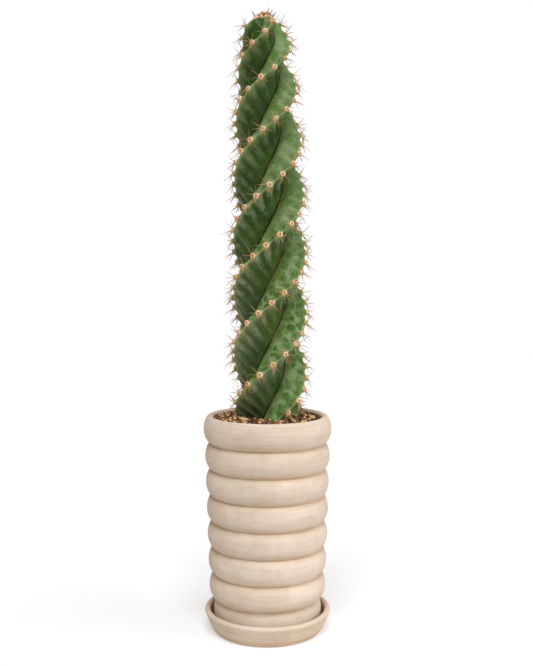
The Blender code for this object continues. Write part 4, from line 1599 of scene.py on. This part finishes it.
@dataclass(frozen=True)
class Tip:
    """The tuft of wool and young spines at the growing point."""

    stem: SpiralStem
    foot: float = 0.7138
    reach: float = 0.7264
    spare: float = 0.0003
    rib_blob: float = 0.0027
    rib_blob_reach: float = 0.0100
    middle_blobs: int = 8
    middle_blob: float = 0.0026
    middle_reach: float = 0.0066
    ball_columns: int = 20
    tuft_radius: float = 0.0060
    fibre_width: float = 0.00010
    bristle_width: float = 0.00030
    spine_width: float = 0.00040
    bristles: int = 260
    spines: int = 30
    fibres: int = 520
    seed: int = 8

    def middle(self) -> Floats:
        """The point on the stem's middle at the tuft's foot."""
        return joined(self.stem.axis_offset(self.stem.top), 0.0, self.foot)

    def blobs(self) -> tuple[Floats, Floats]:
        """Places and radii of the wool's lumps: one where each rib ends, a ring of them and one in the middle.

        Returns:
            The places, and the radii in metres.
        """
        rib_turns = self.stem.rib_angle(np.arange(self.stem.ribs), self.stem.top - 0.004)
        ring_turns = TAU * np.arange(self.middle_blobs) / self.middle_blobs + 0.3
        turns = np.concatenate([rib_turns, ring_turns, [0.0]])
        counts = [self.stem.ribs, self.middle_blobs, 1]
        reaches = np.repeat([self.rib_blob_reach, self.middle_reach, 0.0], counts)
        radii = np.repeat([self.rib_blob, self.middle_blob, self.middle_blob], counts)
        places = self.middle() + polar(reaches, turns, np.repeat([-0.0004, 0.0004, 0.0012], counts))
        return places, radii * np.random.default_rng(self.seed).uniform(0.85, 1.12, len(radii))

    def make_wool(self) -> bpy.types.Object:
        """Lumps of wool: balls whose points move by up to a quarter of their radius, by noise in two sizes.

        Returns:
            The piece.
        """
        places, radii = self.blobs()
        rise = np.radians(np.linspace(-80.0, 80.0, 13))
        grid = turned(joined(np.cos(rise), np.sin(rise)), self.ball_columns)
        ball = column_of(grid, (0.0, 0.0, -1.0), (0.0, 0.0, 1.0))
        at = places[:, None, :] + ball.points[None] * radii[:, None, None]
        push = 1.0 + 0.18 * lumps(at, 0.0016, 51) + 0.10 * lumps(at, 0.0007, 52)
        frames = np.eye(3)[None] * radii[:, None, None]
        body = copies(ball, frames, places, ball.points[None] * push[..., None])
        return build("tip_wool", body, [PALE_WOOL.material()])

    def bristled(
        self, shape: SpineShape, feet: Floats, axes: Floats, lengths: Floats, width: float, seed: int
    ) -> Surface:
        """Bristles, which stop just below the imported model's top.

        Args:
            shape: The shape of one of them.
            feet: Where they start.
            axes: Which way they point.
            lengths: How long they are.
            width: Radius at the foot.
            seed: Number that picks which way each one bends.

        Returns:
            All of them as one surface.
        """
        limit = (self.reach - self.spare - feet[:, 2]) / np.maximum(axes[:, 2], 0.15)
        frames = slender(aimed(axes, np.random.default_rng(seed)), width, np.minimum(lengths, limit))
        return copies(shape.surface(), frames, feet)

    def make_fibres(self) -> bpy.types.Object:
        """Fine wool fibres that stand out of every lump.

        Returns:
            The piece.
        """
        rng = np.random.default_rng(self.seed + 1)
        places, radii = self.blobs()
        owner = rng.integers(len(places), size=self.fibres)
        axes = unit(rng.normal(size=(self.fibres, 3)) + np.array([0.0, 0.0, 0.7]))
        feet = places[owner] + axes * radii[owner][:, None] * 0.85
        lengths = rng.uniform(0.0012, 0.0026, self.fibres)
        body = self.bristled(FIBRE, feet, axes, lengths, self.fibre_width, self.seed + 2)
        return build("tip_fibres", body, [CREAM_WOOL.material()])

    def make_bristles(self) -> bpy.types.Object:
        """A cone of golden-brown bristles over the middle, longest at its centre and leaning out at its edge.

        Returns:
            The piece.
        """
        rng = np.random.default_rng(self.seed + 3)
        around = rng.uniform(0.0, TAU, self.bristles)
        share = np.sqrt(rng.uniform(0.0, 1.0, self.bristles))
        tilt = np.radians(4.0 + 40.0 * share)
        feet = self.middle() + polar(self.tuft_radius * share, around, 0.0008)
        lengths = (0.0092 - 0.0044 * share) * rng.uniform(0.70, 1.20, self.bristles)
        axes = polar(np.sin(tilt), around, np.cos(tilt))
        body = self.bristled(SpineShape(bend=1.2), feet, axes, lengths, self.bristle_width, self.seed + 4)
        return build("tip_bristles", body, [SPINE_GOLD.material(), SPINE_AMBER.material()])

    def make_spines(self) -> bpy.types.Object:
        """Young spines round the wool where the ribs end, and a few that stand up in the middle.

        Returns:
            The piece.
        """
        rng = np.random.default_rng(self.seed + 5)
        places, _ = self.blobs()
        owner = rng.integers(self.stem.ribs + 2, size=self.spines) % len(places)
        out = unit(places[owner] - self.middle() + np.array([1e-6, 0.0, 0.0])) * LEVEL
        out = np.where(owner[:, None] < self.stem.ribs, out, 0.0)
        axes = unit(out * 0.8 + rng.normal(0.0, 0.45, (self.spines, 3)) + np.array([0.0, 0.0, 0.8]))
        lengths = rng.uniform(0.0085, 0.0125, self.spines)
        feet = places[owner] + axes * 0.0012
        body = self.bristled(SpineShape(bend=1.5), feet, axes, lengths, self.spine_width, self.seed + 6)
        return build("tip_spines", body, [SPINE_AMBER.material(), SPINE_BROWN.material()])


# The soil.


@dataclass(frozen=True)
class Soil:
    """The fill of the pot, and the grains that lie on it."""

    stem: SpiralStem
    pot: Pot
    level: float = 0.2516
    gap: float = 0.0003
    mound: float = 0.0012
    columns: int = 180
    rings: int = 44
    lump: float = 0.0007
    pitch: float = 0.00215
    rim_gap: float = 0.0012
    jitter: float = 0.25
    grain_sizes: tuple[float, float] = (0.0008, 0.0016)
    grain_rise: float = 0.25
    tone_shares: tuple[float, ...] = (0.50, 0.38, 0.12)
    pumice_count: int = 140
    pumice_sizes: tuple[float, float] = (0.0010, 0.0028)
    pumice_rise: float = 0.30
    seed: int = 17

    def height_at(self, x: Floats, y: Floats) -> Floats:
        """Height of the bed: the level, a low mound towards the stem, and lumps of two sizes.

        Args:
            x: Places from left to right.
            y: Places from front to back.

        Returns:
            The height at each place in metres.
        """
        place = joined(x, y, 0.0)
        rise = self.mound * ease(np.hypot(x, y), 0.060, 0.036)
        return self.level + rise + self.lump * (lumps(place, 0.009, 61) + 0.5 * lumps(place, 0.003, 62))

    def make_bed(self) -> bpy.types.Object:
        """The fill as one closed body: floor, leaning wall and lumpy top.

        Returns:
            The piece.
        """
        floor = self.pot.floor + self.gap
        edge = self.level - 0.0008
        wall = np.linspace(floor + self.pot.cavity_rounding, edge, 12)
        wall_radius = self.pot.inner_radius(wall) - 2 * self.gap
        low_radius = self.pot.cavity_floor_radius - self.pot.cavity_rounding - self.gap
        base = joined(np.linspace(0.002, low_radius, 6), floor)
        side = joined(wall_radius, wall)
        top = joined(np.linspace(wall_radius[-1], 0.002, self.rings)[1:], edge)
        grid = turned(np.vstack([base, side, top]), self.columns)
        upper = grid[len(base) + len(side) :]
        inwards = ease(np.hypot(upper[..., 0], upper[..., 1]), wall_radius[-1], wall_radius[-1] - 0.004)
        upper[..., 2] = edge + (self.height_at(upper[..., 0], upper[..., 1]) - edge) * inwards
        body = column_of(grid, (0.0, 0.0, floor), (0.0, 0.0, grid[-1, :, 2].mean()))
        piece = build("soil_bed", body, [SOIL_BED.material()])
        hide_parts("soil")
        return piece

    def outside_stem(self, x: Floats, y: Floats, margin: float) -> NDArray[np.bool_]:
        """Whether points lie outside the stem's section at its foot, by the section's radius in their direction.

        Args:
            x: Places from left to right.
            y: Places from front to back.
            margin: How far outside they have to be, in metres.

        Returns:
            The answer for each place.
        """
        height = self.stem.foot + 0.002
        offset = self.stem.axis_offset(height)
        section = self.stem.sections(np.array([height]))[0]
        angle = np.arctan2(section[:, 1], section[:, 0] - offset) % TAU
        order = np.argsort(angle)
        reach = np.hypot(section[:, 0] - offset, section[:, 1])[order]
        own = np.arctan2(y, x - offset) % TAU
        return np.hypot(x - offset, y) > np.interp(own, angle[order], reach, period=TAU) + margin

    def grain_shape(self, count: int, rng: np.random.Generator) -> tuple[Surface, Floats]:
        """A rounded block of 24 faces, and its points pushed about differently for each grain.

        Each side of a cube is a grid of 2 by 2 faces. A point is brought to a length between the sphere's and the
        cube's, then moved by up to a fifth at random.

        Args:
            count: Number of grains.
            rng: Source of the random numbers.

        Returns:
            The block, and the points of every grain.
        """
        steps = np.array(list(np.ndindex(3, 3, 3)))
        middle = len(steps) // 2
        number = np.arange(len(steps)) - (np.arange(len(steps)) > middle)
        cube = np.delete(steps, middle, axis=0) - 1.0
        square = np.array([[0, 0], [1, 0], [1, 1], [0, 1]])
        faces = []
        for axis in range(3):
            for side in (0, 2):
                place = np.full((4, 4, 3), side)
                place[..., [(axis + 1) % 3, (axis + 2) % 3]] = square[:, None] + square
                face = number[place @ np.array([9, 3, 1])]
                faces.append(face if side else face[:, ::-1])
        points = unit(cube) * (0.75 + 0.25 * np.linalg.norm(cube, axis=1, keepdims=True) / 1.3)
        return Surface(points, np.vstack(faces)), points[None] * rng.uniform(0.82, 1.16, (count, len(points), 1))

    def scattered(self, x: Floats, y: Floats, size: Floats, rise: float, rng: np.random.Generator) -> Surface:
        """Grains set on the bed, each turned at random and flattened or drawn out a little.

        Args:
            x: Their places from left to right.
            y: Their places from front to back.
            size: Their radii.
            rise: How far their middles stand above the bed, as a share of their radii.
            rng: Source of the random numbers.

        Returns:
            All of them as one surface.
        """
        shape, points = self.grain_shape(len(x), rng)
        frames = aimed(unit(rng.normal(size=(len(x), 3))), rng)[..., [2, 0, 1]]
        stretch = rng.uniform(0.75, 1.25, (len(x), 1, 3))
        places = joined(x, y, self.height_at(x, y) + size * rise)
        return copies(shape, frames * stretch * size[:, None, None], places, points)

    def make_grains(self) -> list[bpy.types.Object]:
        """Small brown grains over the whole bed, in three tones, then larger pale pumice between them.

        Returns:
            The four pieces.
        """
        rng = np.random.default_rng(self.seed)
        reach = self.pot.rim_inner_radius - self.rim_gap
        count = int(2 * reach / self.pitch) + 2
        column, row = np.meshgrid(np.arange(count), np.arange(int(count / 0.86)))
        x = (column + 0.5 * (row % 2)).ravel() * self.pitch - reach
        y = row.ravel() * self.pitch * 0.866 - reach
        x = x + rng.normal(0.0, self.jitter, len(x)) * self.pitch
        y = y + rng.normal(0.0, self.jitter, len(y)) * self.pitch
        size = rng.uniform(*self.grain_sizes, len(x)) * rng.uniform(0.8, 1.2, len(x))
        kept = (np.hypot(x, y) < reach - size) & self.outside_stem(x, y, -0.0005)
        x, y, size = x[kept], y[kept], size[kept]
        tone = rng.choice(len(self.tone_shares), len(x), p=self.tone_shares)
        pieces = []
        finishes = {"grains_dark": GRAIN_DARK, "grains_brown": GRAIN_BROWN, "grains_tan": GRAIN_TAN}
        for number, (name, finish) in enumerate(finishes.items()):
            some = tone == number
            body = self.scattered(x[some], y[some], size[some], self.grain_rise, rng)
            pieces.append(build(name, body, [finish.material()], smooth=False))
        body = self.scattered(*self.spread_pumice(rng), self.pumice_rise, rng)
        pieces.append(build("grains_pumice", body, [PUMICE.material()], smooth=False))
        return pieces

    def spread_pumice(self, rng: np.random.Generator) -> Floats:
        """Places and sizes of the pumice: each grain stays clear of those before it, of the stem and of the wall.

        Args:
            rng: Source of the random numbers.

        Returns:
            A row each of x, y and radius.
        """
        rim = self.pot.rim_inner_radius
        laid = np.zeros((3, 0))
        while laid.shape[1] < self.pumice_count:
            around = rng.uniform(0.0, TAU)
            reach = rim * math.sqrt(rng.uniform(0.05, 1.0))
            new = rng.uniform(*self.pumice_sizes)
            at = np.array([reach * math.cos(around), reach * math.sin(around)])
            apart = np.hypot(laid[0] - at[0], laid[1] - at[1]) - (laid[2] + new) * 0.9
            by_stem = not self.outside_stem(at[:1], at[1:], new * 0.6)[0]
            if reach <= rim - self.rim_gap - new * 1.3 and not by_stem and np.all(apart >= 0.0):
                laid = np.column_stack([laid, [*at, new]])
        return laid


# The studio.


@dataclass(frozen=True)
class Sun:
    """A broad distant light.

    Attributes:
        name: Name of the light.
        strength: Its strength.
        turn: Degrees to the right of the camera.
        rise: Degrees above the horizon.
        softness: Its width in degrees.
    """

    name: str
    strength: float
    turn: float
    rise: float
    softness: float

    def make(self) -> None:
        """The light, turned to where it comes from."""
        data = bpy.data.lights.new(self.name, "SUN")
        data.energy = self.strength
        data.angle = math.radians(self.softness)
        light = bpy.data.objects.new(self.name, data)
        turn, rise = math.radians(self.turn), math.radians(self.rise)
        towards = Vector((math.sin(turn) * math.cos(rise), -math.cos(turn) * math.cos(rise), math.sin(rise)))
        light.rotation_euler = towards.to_track_quat("Z", "Y").to_euler()
        bpy.context.scene.collection.objects.link(light)


@dataclass(frozen=True)
class Studio:
    """The camera at the photograph's viewing angle, a pale floor, and soft light from above and from both sides."""

    image: tuple[int, int] = (533, 666)
    focal_pixels: float = 902.0
    place: tuple[float, float, float] = (-0.00106, -1.057, 0.4213)
    pitch: float = 3.74
    sensor: float = 36.0
    ambient: Colour = (0.18, 0.1692, 0.1566)
    backdrop: Colour = (1.0, 1.0, 1.0)
    suns: tuple[Sun, ...] = (
        Sun("key", 2.34, 0.0, 60.0, 34.0),
        Sun("side", 1.56, 74.0, 24.0, 50.0),
        Sun("fill", 0.32, -46.0, 40.0, 50.0),
    )
    floor_size: float = 6.0
    floor_glow: float = 0.40
    floor_bounce: Colour = (0.80, 0.77, 0.725)
    floor_tones: tuple[Colour, Colour] = ((0.59, 0.595, 0.605), (0.60, 0.605, 0.615))

    def make_camera(self) -> None:
        """The camera. Its sensor's width is the long side of the picture."""
        data = bpy.data.cameras.new("camera")
        data.sensor_width = self.sensor
        data.lens = self.focal_pixels / max(self.image) * self.sensor
        data.clip_start, data.clip_end = 0.05, 30.0
        camera = bpy.data.objects.new("camera", data)
        camera.location = self.place
        camera.rotation_euler = (math.radians(90.0 - self.pitch), 0.0, 0.0)
        bpy.context.scene.collection.objects.link(camera)
        bpy.context.scene.camera = camera

    def make_floor(self) -> None:
        """A wide floor at the saucer's underside, which the camera sees brighter and cooler than the plant does."""
        half = self.floor_size / 2
        corners = np.array([[-half, -half, 0.0], [half, -half, 0.0], [half, half, 0.0], [-half, half, 0.0]])
        mesh = bpy.data.meshes.new("studio_floor")
        mesh.from_pydata(corners.tolist(), [], [(0, 1, 2, 3)])
        made, wires, shader = new_material("studio_floor", 0.9)
        shader["Specular IOR Level"].default_value = 0.0
        shader["Emission Strength"].default_value = 1.0
        seen = wires.node("LightPath")["Is Camera Ray"]
        pale = wires.blend(wires.between(wires.noise(wires.place(), 3.0, 1.0), 0.2, 0.8), *self.floor_tones)
        wires.put(shader["Base Color"], wires.blend(seen, self.floor_bounce, pale))
        wires.put(shader["Emission Color"], wires.blend(seen, (0.0, 0.0, 0.0), (self.floor_glow,) * 3))
        mesh.materials.append(made)
        floor = bpy.data.objects.new("studio_floor", mesh)
        bpy.context.scene.collection.objects.link(floor)

    def make_world(self) -> None:
        """Even, slightly warm light all round, which the camera sees as white."""
        world = bpy.data.worlds.new("studio")
        world.use_nodes = True
        wires = Wiring(world.node_tree)
        seen = wires.blend(wires.node("LightPath")["Is Camera Ray"], self.ambient, self.backdrop)
        wires.put(world.node_tree.nodes["Background"].inputs["Color"], seen)
        bpy.context.scene.world = world

    def make(self) -> None:
        """Sets the studio up."""
        self.make_camera()
        self.make_floor()
        self.make_world()
        for sun in self.suns:
            sun.make()
        bpy.context.scene.view_settings.view_transform = "Standard"
        log.info("studio: camera, floor, world and three lights")


def main() -> None:
    """Builds the studio, the pot, the stem, the areoles, the tip and the soil, in that order."""
    logging.basicConfig(level=logging.INFO, format="%(name)s: %(message)s")
    Studio().make()
    pot = Pot()
    stem = SpiralStem()
    Saucer().make()
    pot.make()
    stem.make()
    areoles = Areoles(stem)
    areoles.make_cushions()
    areoles.make_fibres()
    areoles.make_spines()
    tip = Tip(stem)
    tip.make_wool()
    tip.make_fibres()
    tip.make_bristles()
    tip.make_spines()
    soil = Soil(stem, pot)
    soil.make_bed()
    soil.make_grains()


if __name__ == "__main__":
    main()
